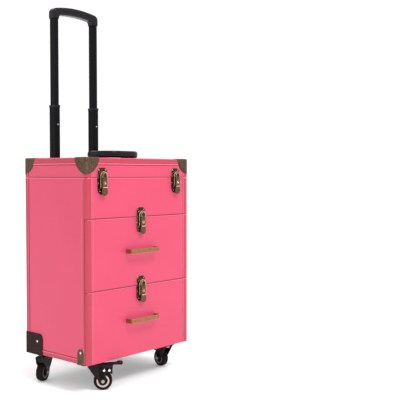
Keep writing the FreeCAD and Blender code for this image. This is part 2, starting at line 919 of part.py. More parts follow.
def mid_collar():
    collar = mid_section(joint_z - collar_height, joint_z, collar_proud, tube_x)
    collar = collar.cut(mid_section(joint_z - collar_height - seam, joint_z - collar_lip, 0, tube_x))
    return collar.cut(upper_section(joint_z - collar_height, joint_z + seam, collar_play, tube_x))


def upper_tube():
    low = joint_z - upper_overlap
    high = socket_z + tube_seat
    tube = upper_section(low, high, 0, tube_x)
    return tube.cut(upper_section(low - seam, high + seam, -upper_wall, tube_x))


def bracket_block(z0, z1):
    """Two sleeves round the tubes, a bridge between them and a screw wing at each end."""
    sleeve_half = sleeve_width / 2
    y1 = tube_y + sleeve_depth / 2
    sleeve = box(tube_x - sleeve_half, tube_x + sleeve_half, y_back, y1, z0, z1)
    sleeve = round_upright(sleeve, mid_radius, lambda p: abs(p.y - y1) < 0.01)
    wing_end = tube_x + sleeve_half + bezel_wing
    wing = box(tube_x, wing_end, y_back, y_back + bezel_wing_thick, z0, z1)
    wing = wing.makeFillet(
        bezel_wing_thick - 1, straight_edges(wing, (0, 1, 0), lambda p: abs(p.x - wing_end) < 0.01)
    )
    bridge = box(-tube_x, tube_x, y_back, y_back + bezel_bridge, z0, z1)
    return bridge.fuse([sleeve, mirrored_x(sleeve), wing, mirrored_x(wing)]).removeSplitter()


def both_sides(shape):
    return [shape, mirrored_x(shape)]


def top_bezel():
    bezel = bracket_block(bezel_top - bezel_height, bezel_top)
    for tool in both_sides(mid_section(bezel_top - bezel_height - seam, outer_high, outer_grow, tube_x)):
        bezel = bezel.cut(tool)
    for tool in both_sides(mid_section(outer_high - seam, bezel_top + seam, bezel_play, tube_x)):
        bezel = bezel.cut(tool)
    return bezel


def bottom_foot():
    foot = bracket_block(foot_low, foot_low + foot_height)
    for tool in both_sides(mid_section(outer_low, foot_low + foot_height + seam, outer_grow, tube_x)):
        foot = foot.cut(tool)
    return foot


def grip_body():
    """Moulded grip: a leg over each tube, joined by a crowned beam."""
    z0 = socket_z
    top = grip_z
    leg_half = upper_width / 2 + grip_wall
    half = tube_x + leg_half
    inner = tube_x - leg_half
    shoulder = top - grip_shoulder
    under = top - grip_beam
    under_end = shoulder - grip_beam + grip_shoulder / 2
    y0 = tube_y - grip_thick / 2
    edges = [
        line((-half, y0, z0), (-half, y0, shoulder)),
        arc((-half, y0, shoulder), (0, y0, top), (half, y0, shoulder)),
        line((half, y0, shoulder), (half, y0, z0)),
        line((half, y0, z0), (inner, y0, z0)),
        line((inner, y0, z0), (inner, y0, under_end)),
        arc((inner, y0, under_end), (0, y0, under), (-inner, y0, under_end)),
        line((-inner, y0, under_end), (-inner, y0, z0)),
        line((-inner, y0, z0), (-half, y0, z0)),
    ]
    body = extrude(edges, (0, grip_thick, 0))
    for level, radius in ((shoulder, grip_corner), (under_end, grip_inner_corner)):
        corners = straight_edges(body, (0, 1, 0), lambda p: abs(p.z - level) < 0.01)
        body = body.makeFillet(radius, corners)
    rounded = []
    for edge in body.Edges:
        middle = edge.CenterOfMass
        if abs(abs(middle.y - tube_y) - grip_thick / 2) < 0.01 and middle.z > z0 + 0.01:
            rounded.append(edge)
    body = body.makeFillet(grip_edge, rounded)
    for tool in both_sides(upper_section(z0 - seam, z0 + tube_seat, 0, tube_x)):
        body = body.cut(tool)
    pocket = button_blank(button_play, grip_z - button_depth - button_travel, button_play)
    return body.cut(pocket)


def button_blank(grow, z0, extra):
    z1 = grip_z + button_proud + extra
    length = button_length + 2 * grow
    width = button_width + 2 * grow
    return rounded_bar(0, tube_y, length, width, width / 2 - button_end_flat, z0, z1)


def push_button():
    low = grip_z - button_depth + button_play
    button = button_blank(0, low, 0)
    rim = [e for e in button.Edges if abs(e.CenterOfMass.z - (grip_z + button_proud)) < 0.01]
    return button.makeChamfer(button_chamfer, rim)


export("trolley_outer_tubes", both_sides(outer_tube()))
export("trolley_top_bezel", [top_bezel()])
export("trolley_foot", [bottom_foot()])
export("trolley_mid_tubes", both_sides(mid_tube()) + both_sides(stop_rivet()))
export("trolley_mid_collars", both_sides(mid_collar()))
export("trolley_upper_tubes", both_sides(upper_tube()))
export("trolley_grip", [grip_body()])
export("trolley_button", [push_button()])


# Casters, modelled about the kingpin with the wheel trailing along +X


def caster_plate():
    half = plate_size / 2
    low = caster_height - plate_sheet
    plate = box(-half, half, -half, half, low, caster_height)
    return round_upright(plate, plate_corner, lambda p: True)


def kingpin():
    low = web_low - kingpin_gap - kingpin_head
    pin = rod(kingpin_radius, (0, 0, low), (0, 0, 1), caster_height - plate_sheet - low)
    head = rod(kingpin_head_radius, (0, 0, low), (0, 0, 1), kingpin_head)
    return pin.fuse(head).removeSplitter()


def tangent_point(start, centre, radius, turn):
    """Where a straight line from the start just touches a circle, on the side given by turn."""
    to_centre = vec(centre[0] - start[0], centre[1] - start[1], 0)
    swing = math.asin(radius / to_centre.Length)
    reach = math.sqrt(to_centre.Length**2 - radius**2)
    heading = math.atan2(to_centre.y, to_centre.x) + turn * swing
    return (start[0] + reach * math.cos(heading), start[1] + reach * math.sin(heading))


def fork_side(has_brake):
    """One leg: a broad cheek above the wheel that narrows to an eye round the axle."""
    if has_brake:
        cheek_end = brake_pivot_along + fork_cheek_margin
    else:
        cheek_end = trail + fork_eye + fork_cheek_margin
    axle = (trail, wheel_radius)
    hood = -race_radius + fork_hood_inset
    waist_front = (trail - fork_waist, wheel_radius + fork_waist_rise)
    waist_back = (trail + fork_eye, wheel_radius + fork_back_rise)
    front_touch = tangent_point(waist_front, axle, fork_eye, -1)
    back_touch = tangent_point(waist_back, axle, fork_eye, 1)
    corners = [
        (hood, web_top, 0),
        (cheek_end + fork_cheek_margin, web_top, fork_round),
        (cheek_end, brake_pivot_level - fork_cheek_margin, fork_round),
        (waist_back[0], waist_back[1], fork_round),
        (back_touch[0], back_touch[1], 0),
        (front_touch[0], front_touch[1], 0),
        (waist_front[0], waist_front[1], fork_round),
        (hood, web_low, 0),
    ]
    leg = rounded_outline(corners, side_on(fork_inside), (0, fork_leg, 0))
    eye = rod(fork_eye, (trail, fork_inside, wheel_radius), (0, 1, 0), fork_leg)
    return leg.fuse(eye).removeSplitter()


def caster_fork(has_brake):
    side = fork_side(has_brake)
    other = side.mirror(vec(0, 0, 0), vec(0, 1, 0))
    hood = -race_radius + fork_hood_inset
    web_end = brake_pivot_along - brake_arm - fork_web_gap
    web = box(hood, web_end, -fork_outside, fork_outside, web_low, web_top)
    race = rod(race_radius, (0, 0, web_top), (0, 0, 1), fork_web_drop)
    race = race.makeChamfer(race_chamfer, [e for e in race.Edges if abs(e.CenterOfMass.z - race_top) < 0.01])
    fork = web.fuse([side, other, race]).removeSplitter()
    fork = fork.cut(rod(kingpin_radius + pin_play, (0, 0, web_low - seam), (0, 0, 1), caster_height))
    for pin in fork_pins(has_brake):
        fork = fork.cut(pin)
    return fork


def cross_pin(radius, head_radius, along, level):
    """Rivet right across the fork, with a head on each side."""
    pin = rod(radius, (along, -fork_outside, level), (0, 1, 0), 2 * fork_outside)
    near = rod(head_radius, (along, -fork_outside - axle_head, level), (0, 1, 0), axle_head)
    far = rod(head_radius, (along, fork_outside, level), (0, 1, 0), axle_head)
    return pin.fuse([near, far]).removeSplitter()


def fork_pins(has_brake):
    pins = [cross_pin(axle_radius, axle_head_radius, trail, wheel_radius)]
    if has_brake:
        for along in (brake_pivot_along, brake_spacer_along):
            pins.append(cross_pin(brake_pin_radius, brake_pin_head, along, brake_pivot_level))
    return pins


def caster_tyre():
    half = wheel_width / 2
    edge = wheel_radius - tyre_chamfer
    rim = [
        (tyre_inner, 0, -half),
        (edge, 0, -half),
        (wheel_radius, 0, -half + tyre_chamfer),
        (wheel_radius, 0, half - tyre_chamfer),
        (edge, 0, half),
        (tyre_inner, 0, half),
    ]
    return spun(rim)


def caster_hub():
    half = hub_width / 2
    ring = half + hub_ring_proud
    bore = axle_radius + axle_play
    boss = fork_inside - wheel_side_gap / 2
    web = half - hub_web_inset
    rim = [
        (bore, 0, -boss),
        (hub_boss_radius, 0, -boss),
        (hub_boss_radius, 0, -web),
        (hub_ring_inner, 0, -web),
        (hub_ring_inner, 0, -ring),
        (tyre_inner, 0, -ring),
        (tyre_inner, 0, ring),
        (hub_ring_inner, 0, ring),
        (hub_ring_inner, 0, web),
        (hub_boss_radius, 0, web),
        (hub_boss_radius, 0, boss),
        (bore, 0, boss),
    ]
    return spun(rim)


def spun(rim):
    """Turn a half section (radius, 0, side) round the axle."""
    wire = Part.makePolygon([vec(*p) for p in rim] + [vec(*rim[0])])
    wheel = Part.Face(wire).revolve(vec(0, 0, 0), vec(0, 0, 1), 360)
    wheel = turned(wheel, (0, 0, 0), (1, 0, 0), 90)
    return moved(wheel, trail, 0, wheel_radius)


def beside_tyre(level):
    """Distance along the fork of the shoe's face at one level, clear of the tyre."""
    reach = wheel_radius + brake_shoe_gap
    return trail + math.sqrt(reach**2 - (level - wheel_radius) ** 2)


def brake_lever():
    """Foot lever: a pad with a thick toe, and an arm that carries the shoe behind the tyre."""
    x = brake_pivot_along
    z = brake_pivot_level
    back = x - brake_arm
    pad_under = brake_pad_level - brake_pad_sheet
    toe_top = brake_pad_level + brake_toe_rise
    toe_under = toe_top - brake_toe_thick
    toe_start = brake_tip_along - brake_toe_length
    shoe_top = brake_shoe_level + brake_shoe_height
    heel = beside_tyre(brake_shoe_level) + brake_shoe_thick
    half = brake_width / 2
    corners = [
        (back, brake_pad_level, brake_edge),
        (toe_start, brake_pad_level, brake_bend),
        (toe_start + 2 * brake_toe_rise, toe_top, brake_bend),
        (brake_tip_along, toe_top, brake_toe_round),
        (brake_tip_along, toe_under, brake_toe_round),
        (toe_start, pad_under, brake_bend),
        (x + 2 * brake_arm, pad_under, brake_bend),
        (heel, z, brake_bend),
        (heel, brake_shoe_level, brake_edge),
        (beside_tyre(brake_shoe_level), brake_shoe_level, 0),
        (beside_tyre(shoe_top), shoe_top, 0),
        (back, z - brake_arm / 2, brake_edge),
    ]
    lever = rounded_outline(corners, side_on(-half), (0, brake_width, 0))
    plan = box(back - seam, brake_tip_along, -half, half, brake_shoe_level - seam, toe_top + seam)
    plan = round_upright(plan, brake_tip_radius, lambda p: abs(p.x - brake_tip_along) < 0.01)
    lever = lever.common(plan)
    bore = rod(brake_pin_radius + pin_play, (x, -half - seam, z), (0, 1, 0), brake_width + 2 * seam)
    return lever.cut(bore)


plates = []
for name, heading in caster_headings.items():
    end, side = name.split("_")
    at_front = end == "front"
    x = half_width - caster_inset_side
    if side == "left":
        x = -x
    if at_front:
        y = y_front + caster_inset_end
    else:
        y = y_back - caster_inset_end

    def place(shape):
        return moved(turned(shape, (0, 0, 0), (0, 0, 1), heading), x, y, 0)

    plates += [moved(caster_plate(), x, y, 0), moved(kingpin(), x, y, 0)]
    pins = [place(pin) for pin in fork_pins(at_front)]
    export("caster_fork_" + name, [place(caster_fork(at_front))] + pins)
    export("caster_wheel_" + name, [place(caster_tyre()), place(caster_hub())])
    if at_front:
        export("caster_brake_" + name, [place(brake_lever())])
export("caster_plates", plates)
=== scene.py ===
import json
import math

import bmesh
import bpy
from mathutils import Matrix, Vector


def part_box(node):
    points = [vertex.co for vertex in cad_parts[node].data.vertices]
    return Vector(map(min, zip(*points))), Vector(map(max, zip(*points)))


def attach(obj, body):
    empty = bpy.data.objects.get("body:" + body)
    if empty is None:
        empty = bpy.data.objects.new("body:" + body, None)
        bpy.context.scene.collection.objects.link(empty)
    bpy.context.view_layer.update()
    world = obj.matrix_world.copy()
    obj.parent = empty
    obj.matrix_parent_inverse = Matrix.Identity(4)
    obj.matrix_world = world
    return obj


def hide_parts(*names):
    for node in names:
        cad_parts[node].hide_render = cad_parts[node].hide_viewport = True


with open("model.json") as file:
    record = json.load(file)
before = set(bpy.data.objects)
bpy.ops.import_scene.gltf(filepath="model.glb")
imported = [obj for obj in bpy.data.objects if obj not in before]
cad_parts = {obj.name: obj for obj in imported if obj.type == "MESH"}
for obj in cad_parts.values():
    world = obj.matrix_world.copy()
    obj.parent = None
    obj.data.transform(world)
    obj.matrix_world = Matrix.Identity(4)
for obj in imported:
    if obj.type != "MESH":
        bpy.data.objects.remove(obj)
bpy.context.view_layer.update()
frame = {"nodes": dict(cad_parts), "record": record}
print("frame loaded:", len(frame["nodes"]), "nodes")


# Helpers. Pieces are built in millimetres and scaled to metres when they are finished.

perMetre = 1000
creaseAngle = 38
fullTurn = math.radians(360)
quarterTurn = Matrix.Rotation(math.radians(90), 3, "X")


def nodeBox(name):
    low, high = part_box(name)
    return low * perMetre, high * perMetre


def roundEdges(bm, edges, width, segments=2, clamp=True):
    return bmesh.ops.bevel(
        bm, geom=edges, offset=width, offset_type="OFFSET", affect="EDGES",
        segments=segments, profile=0.5, material=-1, clamp_overlap=clamp,
    )["faces"]


def softenEdges(bm, width, minAngle=30):
    limit = math.radians(minAngle)
    sharp = [e for e in bm.edges if len(e.link_faces) == 2 and e.calc_face_angle(0) > limit]
    return roundEdges(bm, sharp, width) if sharp else []


def addTo(whole, part):
    mesh = bpy.data.meshes.new("part")
    part.to_mesh(mesh)
    part.free()
    whole.from_mesh(mesh)
    bpy.data.meshes.remove(mesh)


def turnTo(direction):
    return Vector(direction).to_track_quat("Z", "Y").to_matrix().to_4x4()


def placeOn(whole, part, place, outward, lift=0.0):
    move = Matrix.Translation(Vector(place)) @ turnTo(outward) @ Matrix.Translation((0, 0, lift))
    bmesh.ops.transform(part, matrix=move, verts=part.verts)
    addTo(whole, part)


def spinAround(bm, geom, steps):
    bmesh.ops.spin(
        bm, geom=geom, cent=(0, 0, 0), axis=(0, 0, 1), angle=fullTurn,
        steps=steps, use_merge=True, use_duplicate=False,
    )


def finishPiece(bm, name, body, look, flatFaces=False):
    bmesh.ops.scale(bm, vec=(1 / perMetre,) * 3, verts=bm.verts)
    mesh = bpy.data.meshes.new(name)
    bm.to_mesh(mesh)
    bm.free()
    mesh.materials.append(looks[look])
    mesh.shade_smooth()
    mesh.set_sharp_from_angle(angle=math.radians(creaseAngle))
    piece = bpy.data.objects.new(name, mesh)
    bpy.context.collection.objects.link(piece)
    if flatFaces:
        weighted = piece.modifiers.new("flatFaces", "WEIGHTED_NORMAL")
        weighted.keep_sharp = True
    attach(piece, body)
    return piece


# Nodes and shader groups shared by the materials

colorKind, numberKind = "NodeSocketColor", "NodeSocketFloat"
mixSockets = {"RGBA": (6, 7, 2), "FLOAT": (2, 3, 0)}


def newGroup(name, inputs, outputs):
    group = bpy.data.node_groups.new(name, "ShaderNodeTree")
    for direction, sockets in (("INPUT", inputs), ("OUTPUT", outputs)):
        for socketName, kind in sockets.items():
            group.interface.new_socket(name=socketName, in_out=direction, socket_type=kind)
    return group, group.nodes.new("NodeGroupInput"), group.nodes.new("NodeGroupOutput")


def node(tree, kind, values=None, **props):
    made = tree.nodes.new(kind)
    for key, value in props.items():
        setattr(made, key, value)
    for key, value in (values or {}).items():
        made.inputs[key].default_value = value
    return made


def feed(tree, value, socket):
    if isinstance(value, (int, float)):
        socket.default_value = value
    else:
        tree.links.new(value, socket)


def mixOf(tree, kind, factor, first, second):
    mix = node(tree, "ShaderNodeMix", data_type=kind)
    firstIndex, secondIndex, result = mixSockets[kind]
    for index, value in ((0, factor), (firstIndex, first), (secondIndex, second)):
        tree.links.new(value, mix.inputs[index])
    return mix.outputs[result]


def mathNode(tree, operation, first, second=None, clamp=False):
    made = node(tree, "ShaderNodeMath", operation=operation, use_clamp=clamp)
    feed(tree, first, made.inputs[0])
    if second is not None:
        feed(tree, second, made.inputs[1])
    return made.outputs[0]


def remap(tree, value, low, high, toLow=0.0, toHigh=1.0):
    made = node(tree, "ShaderNodeMapRange", {1: low, 2: high, 3: toLow, 4: toHigh}, clamp=True)
    tree.links.new(value, made.inputs[0])
    return made.outputs[0]


def objectPoint(tree):
    return tree.nodes.new("ShaderNodeTexCoord").outputs["Object"]


def noiseAt(tree, point, scale, detail, roughness):
    noise = node(tree, "ShaderNodeTexNoise", {"Detail": detail, "Roughness": roughness})
    tree.links.new(point, noise.inputs["Vector"])
    feed(tree, scale, noise.inputs["Scale"])
    return noise.outputs["Fac"]


# Noise settings are scale, detail and roughness. A span is remapped to 0..1.

grainLook = {
    "smoothness": 0.6,
    "bumpSpan": (0.1, 0.7),
    "creases": (260.0, 5.0, 0.6),
    "patches": (7.0, 2.0, 0.5),
    "patchSpan": (0.35, 0.7),
    "patchShade": 0.35,
    "pitShade": 0.22,
    "roughSpread": 0.22,
    "bumpShare": 0.7,
    "creaseShare": 0.3,
}


def buildLeatherGrain():
    group, start, end = newGroup(
        "leatherGrain",
        {"Base": colorKind, "Deep": colorKind, "Pebble": numberKind, "Rough": numberKind},
        {"Color": colorKind, "Roughness": numberKind, "Height": numberKind},
    )
    point = objectPoint(group)
    pebble = node(
        group, "ShaderNodeTexVoronoi", {"Smoothness": grainLook["smoothness"]}, feature="SMOOTH_F1"
    )
    group.links.new(point, pebble.inputs["Vector"])
    group.links.new(start.outputs["Pebble"], pebble.inputs["Scale"])
    bumps = remap(group, pebble.outputs["Distance"], *grainLook["bumpSpan"], 1.0, 0.0)
    creases = noiseAt(group, point, *grainLook["creases"])
    patches = remap(group, noiseAt(group, point, *grainLook["patches"]), *grainLook["patchSpan"])
    shade = mathNode(group, "MULTIPLY", patches, grainLook["patchShade"])
    pits = mathNode(group, "MULTIPLY", mathNode(group, "SUBTRACT", 1.0, bumps), grainLook["pitShade"])
    depth = mathNode(group, "ADD", shade, pits, clamp=True)
    painted = mixOf(group, "RGBA", depth, start.outputs["Base"], start.outputs["Deep"])
    group.links.new(painted, end.inputs["Color"])
    centred = mathNode(group, "SUBTRACT", creases, 0.5)
    spread = mathNode(group, "MULTIPLY", centred, grainLook["roughSpread"])
    group.links.new(mathNode(group, "ADD", start.outputs["Rough"], spread), end.inputs["Roughness"])
    bumpHeight = mathNode(group, "MULTIPLY", bumps, grainLook["bumpShare"])
    creaseHeight = mathNode(group, "MULTIPLY", creases, grainLook["creaseShare"])
    group.links.new(mathNode(group, "ADD", bumpHeight, creaseHeight), end.inputs["Height"])
    return group


metalLook = {
    "blotches": (5.0, 0.62),
    "darkSpan": (0.42, 0.6),
    "scuffs": (900.0, 4.0, 0.7),
    "rubbedSpan": (0.52, 0.66),
    "breaks": (420.0, 3.0, 0.6),
    "breakSpan": (0.36, 0.58),
    "leastEdge": 0.35,
    "darkRough": 0.18,
    "rubbedSmooth": 0.15,
    "patinaMetallic": 0.7,
}


def buildAgedMetal():
    group, start, end = newGroup(
        "agedMetal",
        {
            "Base": colorKind, "Dark": colorKind, "Bright": colorKind,
            "Blotch": numberKind, "Wear": numberKind, "Rough": numberKind,
        },
        {"Color": colorKind, "Roughness": numberKind, "Height": numberKind, "Patina": numberKind},
    )
    point = objectPoint(group)
    blotch = noiseAt(group, point, start.outputs["Blotch"], *metalLook["blotches"])
    dark = remap(group, blotch, *metalLook["darkSpan"])
    aged = mixOf(group, "RGBA", dark, start.outputs["Base"], start.outputs["Dark"])
    scuffs = noiseAt(group, point, *metalLook["scuffs"])
    rubbedAndHighlight = remap(group, scuffs, *metalLook["rubbedSpan"])
    rubbedAndHighlight = mathNode(group, "MULTIPLY", rubbedAndHighlight, start.outputs["Wear"])
    breaks = noiseAt(group, point, *metalLook["breaks"])
    broken = remap(group, breaks, *metalLook["breakSpan"], metalLook["leastEdge"], 1.0)
    # The rounded edges marked in edgeWearAndHighlight are mixed towards the Bright colour: partly wear,
    # partly painted highlight on the edges.
    edge = node(group, "ShaderNodeAttribute", attribute_name="edgeWearAndHighlight").outputs["Fac"]
    edge = mathNode(group, "MULTIPLY", edge, broken)
    rubbedAndHighlight = mathNode(group, "MAXIMUM", rubbedAndHighlight, edge, clamp=True)
    painted = mixOf(group, "RGBA", rubbedAndHighlight, aged, start.outputs["Bright"])
    group.links.new(painted, end.inputs["Color"])
    roughened = mathNode(group, "MULTIPLY", dark, metalLook["darkRough"])
    smoothed = mathNode(group, "MULTIPLY", rubbedAndHighlight, metalLook["rubbedSmooth"])
    rough = mathNode(group, "ADD", start.outputs["Rough"], roughened)
    group.links.new(mathNode(group, "SUBTRACT", rough, smoothed), end.inputs["Roughness"])
    group.links.new(mathNode(group, "ADD", blotch, scuffs), end.inputs["Height"])
    group.links.new(dark, end.inputs["Patina"])
    return group


fineLook = {
    "grain": (3.0, 0.6),
    "smudges": (28.0, 4.0, 0.6),
    "smudgeSpan": (0.4, 0.75),
    "dustShare": 0.3,
    "roughSpread": 0.14,
}


def buildFineTexture():
    group, start, end = newGroup(
        "fineTexture",
        {"Base": colorKind, "Dust": colorKind, "Grain": numberKind, "Rough": numberKind},
        {"Color": colorKind, "Roughness": numberKind, "Height": numberKind},
    )
    point = objectPoint(group)
    grain = noiseAt(group, point, start.outputs["Grain"], *fineLook["grain"])
    smudge = remap(group, noiseAt(group, point, *fineLook["smudges"]), *fineLook["smudgeSpan"])
    dust = mathNode(group, "MULTIPLY", smudge, fineLook["dustShare"])
    painted = mixOf(group, "RGBA", dust, start.outputs["Base"], start.outputs["Dust"])
    group.links.new(painted, end.inputs["Color"])
    spread = mathNode(group, "MULTIPLY", smudge, fineLook["roughSpread"])
    group.links.new(mathNode(group, "ADD", start.outputs["Rough"], spread), end.inputs["Roughness"])
    group.links.new(grain, end.inputs["Height"])
    return group


def buildInsideMask():
    group, start, end = newGroup(
        "insideMask",
        {"HalfWidth": numberKind, "Front": numberKind, "Back": numberKind, "Top": numberKind},
        {"Inside": numberKind},
    )
    split = node(group, "ShaderNodeSeparateXYZ")
    group.links.new(objectPoint(group), split.inputs[0])
    inside = mathNode(
        group, "LESS_THAN", mathNode(group, "ABSOLUTE", split.outputs["X"]), start.outputs["HalfWidth"]
    )
    limits = (("GREATER_THAN", "Y", "Front"), ("LESS_THAN", "Y", "Back"), ("LESS_THAN", "Z", "Top"))
    for operation, axis, limit in limits:
        within = mathNode(group, operation, split.outputs[axis], start.outputs[limit])
        inside = mathNode(group, "MULTIPLY", inside, within)
    group.links.new(inside, end.inputs["Inside"])
    return group


leatherGrain = buildLeatherGrain()
agedMetal = buildAgedMetal()
fineTexture = buildFineTexture()
insideMask = buildInsideMask()
print("shader groups built")


# Materials, kept by name

looks = {}
bumpDistance = 0.0002


def newMaterial(name, viewColor):
    material = bpy.data.materials.new(name)
    material.use_nodes = True
    material.diffuse_color = (*viewColor, 1)
    looks[name] = material
    return material.node_tree, material.node_tree.nodes["Principled BSDF"]


def placeGroup(tree, group, **values):
    placed = tree.nodes.new("ShaderNodeGroup")
    placed.node_tree = group
    for key, value in values.items():
        placed.inputs[key].default_value = (*value, 1) if isinstance(value, tuple) else value
    return placed.outputs


def bumpFrom(tree, height, shader, strength):
    bump = node(tree, "ShaderNodeBump", {"Strength": strength, "Distance": bumpDistance})
    tree.links.new(height, bump.inputs["Height"])
    tree.links.new(bump.outputs["Normal"], shader.inputs["Normal"])


leather = {
    "panel": (0.622, 0.058, 0.128),
    "panelDeep": (0.572, 0.048, 0.108),
    "binding": (0.470, 0.036, 0.074),
    "bindingDeep": (0.390, 0.024, 0.050),
    # piping: light pink of the raised piping, a painted highlight along the worked edges.
    "piping": (0.840, 0.200, 0.290),
    # seam colours are painted shade: the dark lines in seams, gaps and beside the raised strips.
    "seam": (0.300, 0.016, 0.040),
    "seamDeep": (0.230, 0.010, 0.028),
    "rough": 0.42,
    "pebble": 850.0,
    "shine": 0.4,
    "bump": 0.22,
}
felt = {"color": (0.030, 0.028, 0.030), "lint": (0.075, 0.070, 0.075), "grain": 2600.0, "rough": 0.88}


def leatherMaterial(name, base, deep, rough, lined=None):
    tree, shader = newMaterial(name, leather[base])
    grain = placeGroup(
        tree, leatherGrain, Base=leather[base], Deep=leather[deep], Pebble=leather["pebble"], Rough=rough
    )
    color, roughness = grain["Color"], grain["Roughness"]
    if lined:
        lining = placeGroup(
            tree, fineTexture, Base=felt["color"], Dust=felt["lint"], Grain=felt["grain"], Rough=felt["rough"]
        )
        inside = placeGroup(tree, insideMask, **lined)["Inside"]
        color = mixOf(tree, "RGBA", inside, color, lining["Color"])
        roughness = mixOf(tree, "FLOAT", inside, roughness, lining["Roughness"])
    tree.links.new(color, shader.inputs["Base Color"])
    tree.links.new(roughness, shader.inputs["Roughness"])
    shader.inputs["Specular IOR Level"].default_value = leather["shine"]
    bumpFrom(tree, grain["Height"], shader, leather["bump"])


def metalMaterial(name, base, dark, bright, blotch, wear, rough, bump):
    tree, shader = newMaterial(name, base)
    aged = placeGroup(
        tree, agedMetal, Base=base, Dark=dark, Bright=bright, Blotch=blotch, Wear=wear, Rough=rough
    )
    tree.links.new(aged["Color"], shader.inputs["Base Color"])
    tree.links.new(aged["Roughness"], shader.inputs["Roughness"])
    metallic = remap(tree, aged["Patina"], 0.0, 1.0, 1.0, metalLook["patinaMetallic"])
    tree.links.new(metallic, shader.inputs["Metallic"])
    bumpFrom(tree, aged["Height"], shader, bump)


def plainMaterial(name, base, dust, grain, rough, bump, shine):
    tree, shader = newMaterial(name, base)
    fine = placeGroup(tree, fineTexture, Base=base, Dust=dust, Grain=grain, Rough=rough)
    tree.links.new(fine["Color"], shader.inputs["Base Color"])
    tree.links.new(fine["Roughness"], shader.inputs["Roughness"])
    shader.inputs["Specular IOR Level"].default_value = shine
    bumpFrom(tree, fine["Height"], shader, bump)


sideLow, sideHigh = nodeBox("side_panel_left")
rightLow, rightHigh = nodeBox("side_panel_right")
lidLow, lidHigh = nodeBox("lid_top")
upperLow, upperHigh = nodeBox("drawer_face_upper")
lowerLow, lowerHigh = nodeBox("drawer_face_lower")
trayLow, trayHigh = nodeBox("tray_front")

case = {
    "half": rightHigh.x,
    "innerHalf": rightLow.x,
    "front": sideLow.y,
    "back": sideHigh.y,
    "bottom": sideLow.z,
    "sideTop": sideHigh.z,
    "top": lidHigh.z,
    "lidBottom": nodeBox("lid_front")[0].z,
    "lidUnder": lidLow.z,
    "corner": 5.2,
    "backBoard": 8.9,
    "maskReach": 0.1,
}
half, front, back = case["half"], case["front"], case["back"]

wholeInside = {
    "HalfWidth": (case["innerHalf"] + case["maskReach"]) / perMetre,
    "Front": (trayHigh.y - case["maskReach"]) / perMetre,
    "Back": (back - case["backBoard"]) / perMetre,
    "Top": (case["lidUnder"] + case["maskReach"]) / perMetre,
}
faceInside = dict(wholeInside, Front=(upperHigh.y - case["maskReach"]) / perMetre, HalfWidth=1.0)

# Base and deep colour, roughness and, where one side is lined with felt, the lined space
leathers = {
    "pinkLeather": ("panel", "panelDeep", leather["rough"], wholeInside),
    "pinkDrawer": ("panel", "panelDeep", leather["rough"], faceInside),
    "pinkBinding": ("binding", "bindingDeep", 0.38),
    "pinkPiping": ("piping", "panel", 0.34),
    "pinkSeam": ("seam", "seamDeep", 0.55),
}
# Base, dark and bright colour, scale of the blotches, wear, roughness, bump
metals = {
    "bronzeCap": (
        (0.118, 0.064, 0.036), (0.045, 0.024, 0.014), (0.46, 0.33, 0.22), 240.0, 0.5, 0.42, 0.25,
    ),
    "bronzeCatch": (
        (0.052, 0.022, 0.010), (0.018, 0.007, 0.003), (0.86, 0.62, 0.40), 240.0, 0.12, 0.36, 0.15,
    ),
    "bronzeLever": (
        (0.150, 0.070, 0.034), (0.080, 0.034, 0.015), (0.82, 0.58, 0.36), 200.0, 0.2, 0.32, 0.12,
    ),
    "paleBrass": ((0.80, 0.66, 0.48), (0.50, 0.36, 0.22), (0.98, 0.90, 0.78), 300.0, 0.4, 0.24, 0.08),
    "bronzePull": ((0.330, 0.160, 0.064), (0.250, 0.115, 0.045), (0.70, 0.50, 0.28), 150.0, 0.2, 0.34, 0.1),
    "brightSteel": ((0.86, 0.85, 0.83), (0.70, 0.69, 0.67), (0.97, 0.97, 0.96), 300.0, 0.4, 0.20, 0.06),
    "nutSteel": ((0.42, 0.42, 0.39), (0.20, 0.20, 0.18), (0.80, 0.80, 0.78), 300.0, 0.4, 0.28, 0.06),
    "leafSteel": ((0.40, 0.40, 0.39), (0.34, 0.34, 0.33), (0.60, 0.60, 0.59), 260.0, 0.25, 0.32, 0.04),
    "runnerSteel": ((0.27, 0.27, 0.27), (0.25, 0.25, 0.25), (0.42, 0.42, 0.41), 400.0, 0.2, 0.34, 0.04),
}
# Base and dust colour, scale of the grain, roughness, bump, shine
plains = {
    "pinkThread": ((0.88, 0.34, 0.42), (0.76, 0.18, 0.27), 3500.0, 0.6, 0.3, 0.5),
    "liningFelt": (felt["color"], felt["lint"], felt["grain"], felt["rough"], 0.5, 0.5),
    "darkGuard": ((0.024, 0.011, 0.008), (0.036, 0.020, 0.016), 1500.0, 0.46, 0.3, 0.06),
    "blackTube": ((0.005, 0.005, 0.006), (0.009, 0.009, 0.010), 2400.0, 0.34, 0.06, 0.05),
    "blackPlastic": ((0.008, 0.008, 0.010), (0.016, 0.016, 0.018), 1600.0, 0.40, 0.25, 0.14),
    # gripPlastic's faint maroon tint is a painted reflection of the pink case top.
    "gripPlastic": ((0.006, 0.004, 0.006), (0.011, 0.008, 0.010), 1100.0, 0.22, 0.08, 0.20),
    # blackSteel's faint maroon tint is a painted reflection of the pink case.
    "blackSteel": ((0.010, 0.005, 0.006), (0.018, 0.011, 0.012), 1900.0, 0.34, 0.12, 0.14),
    # brakeSteel's maroon tint is a painted reflection of the pink case.
    "brakeSteel": ((0.020, 0.004, 0.008), (0.030, 0.009, 0.014), 1900.0, 0.30, 0.1, 0.12),
    "blackRubber": ((0.006, 0.004, 0.004), (0.014, 0.010, 0.011), 1300.0, 0.60, 0.3, 0.1),
    "hubPlastic": ((0.64, 0.49, 0.48), (0.52, 0.38, 0.37), 1500.0, 0.4, 0.1, 0.4),
    # shadedHub: a darker copy of the hub ring colour, painted shade for the rings of three casters.
    "shadedHub": ((0.16, 0.10, 0.10), (0.12, 0.07, 0.07), 1500.0, 0.4, 0.1, 0.3),
}
for build, rows in ((leatherMaterial, leathers), (metalMaterial, metals), (plainMaterial, plains)):
    for name, row in rows.items():
        build(name, *row)
print("materials built")
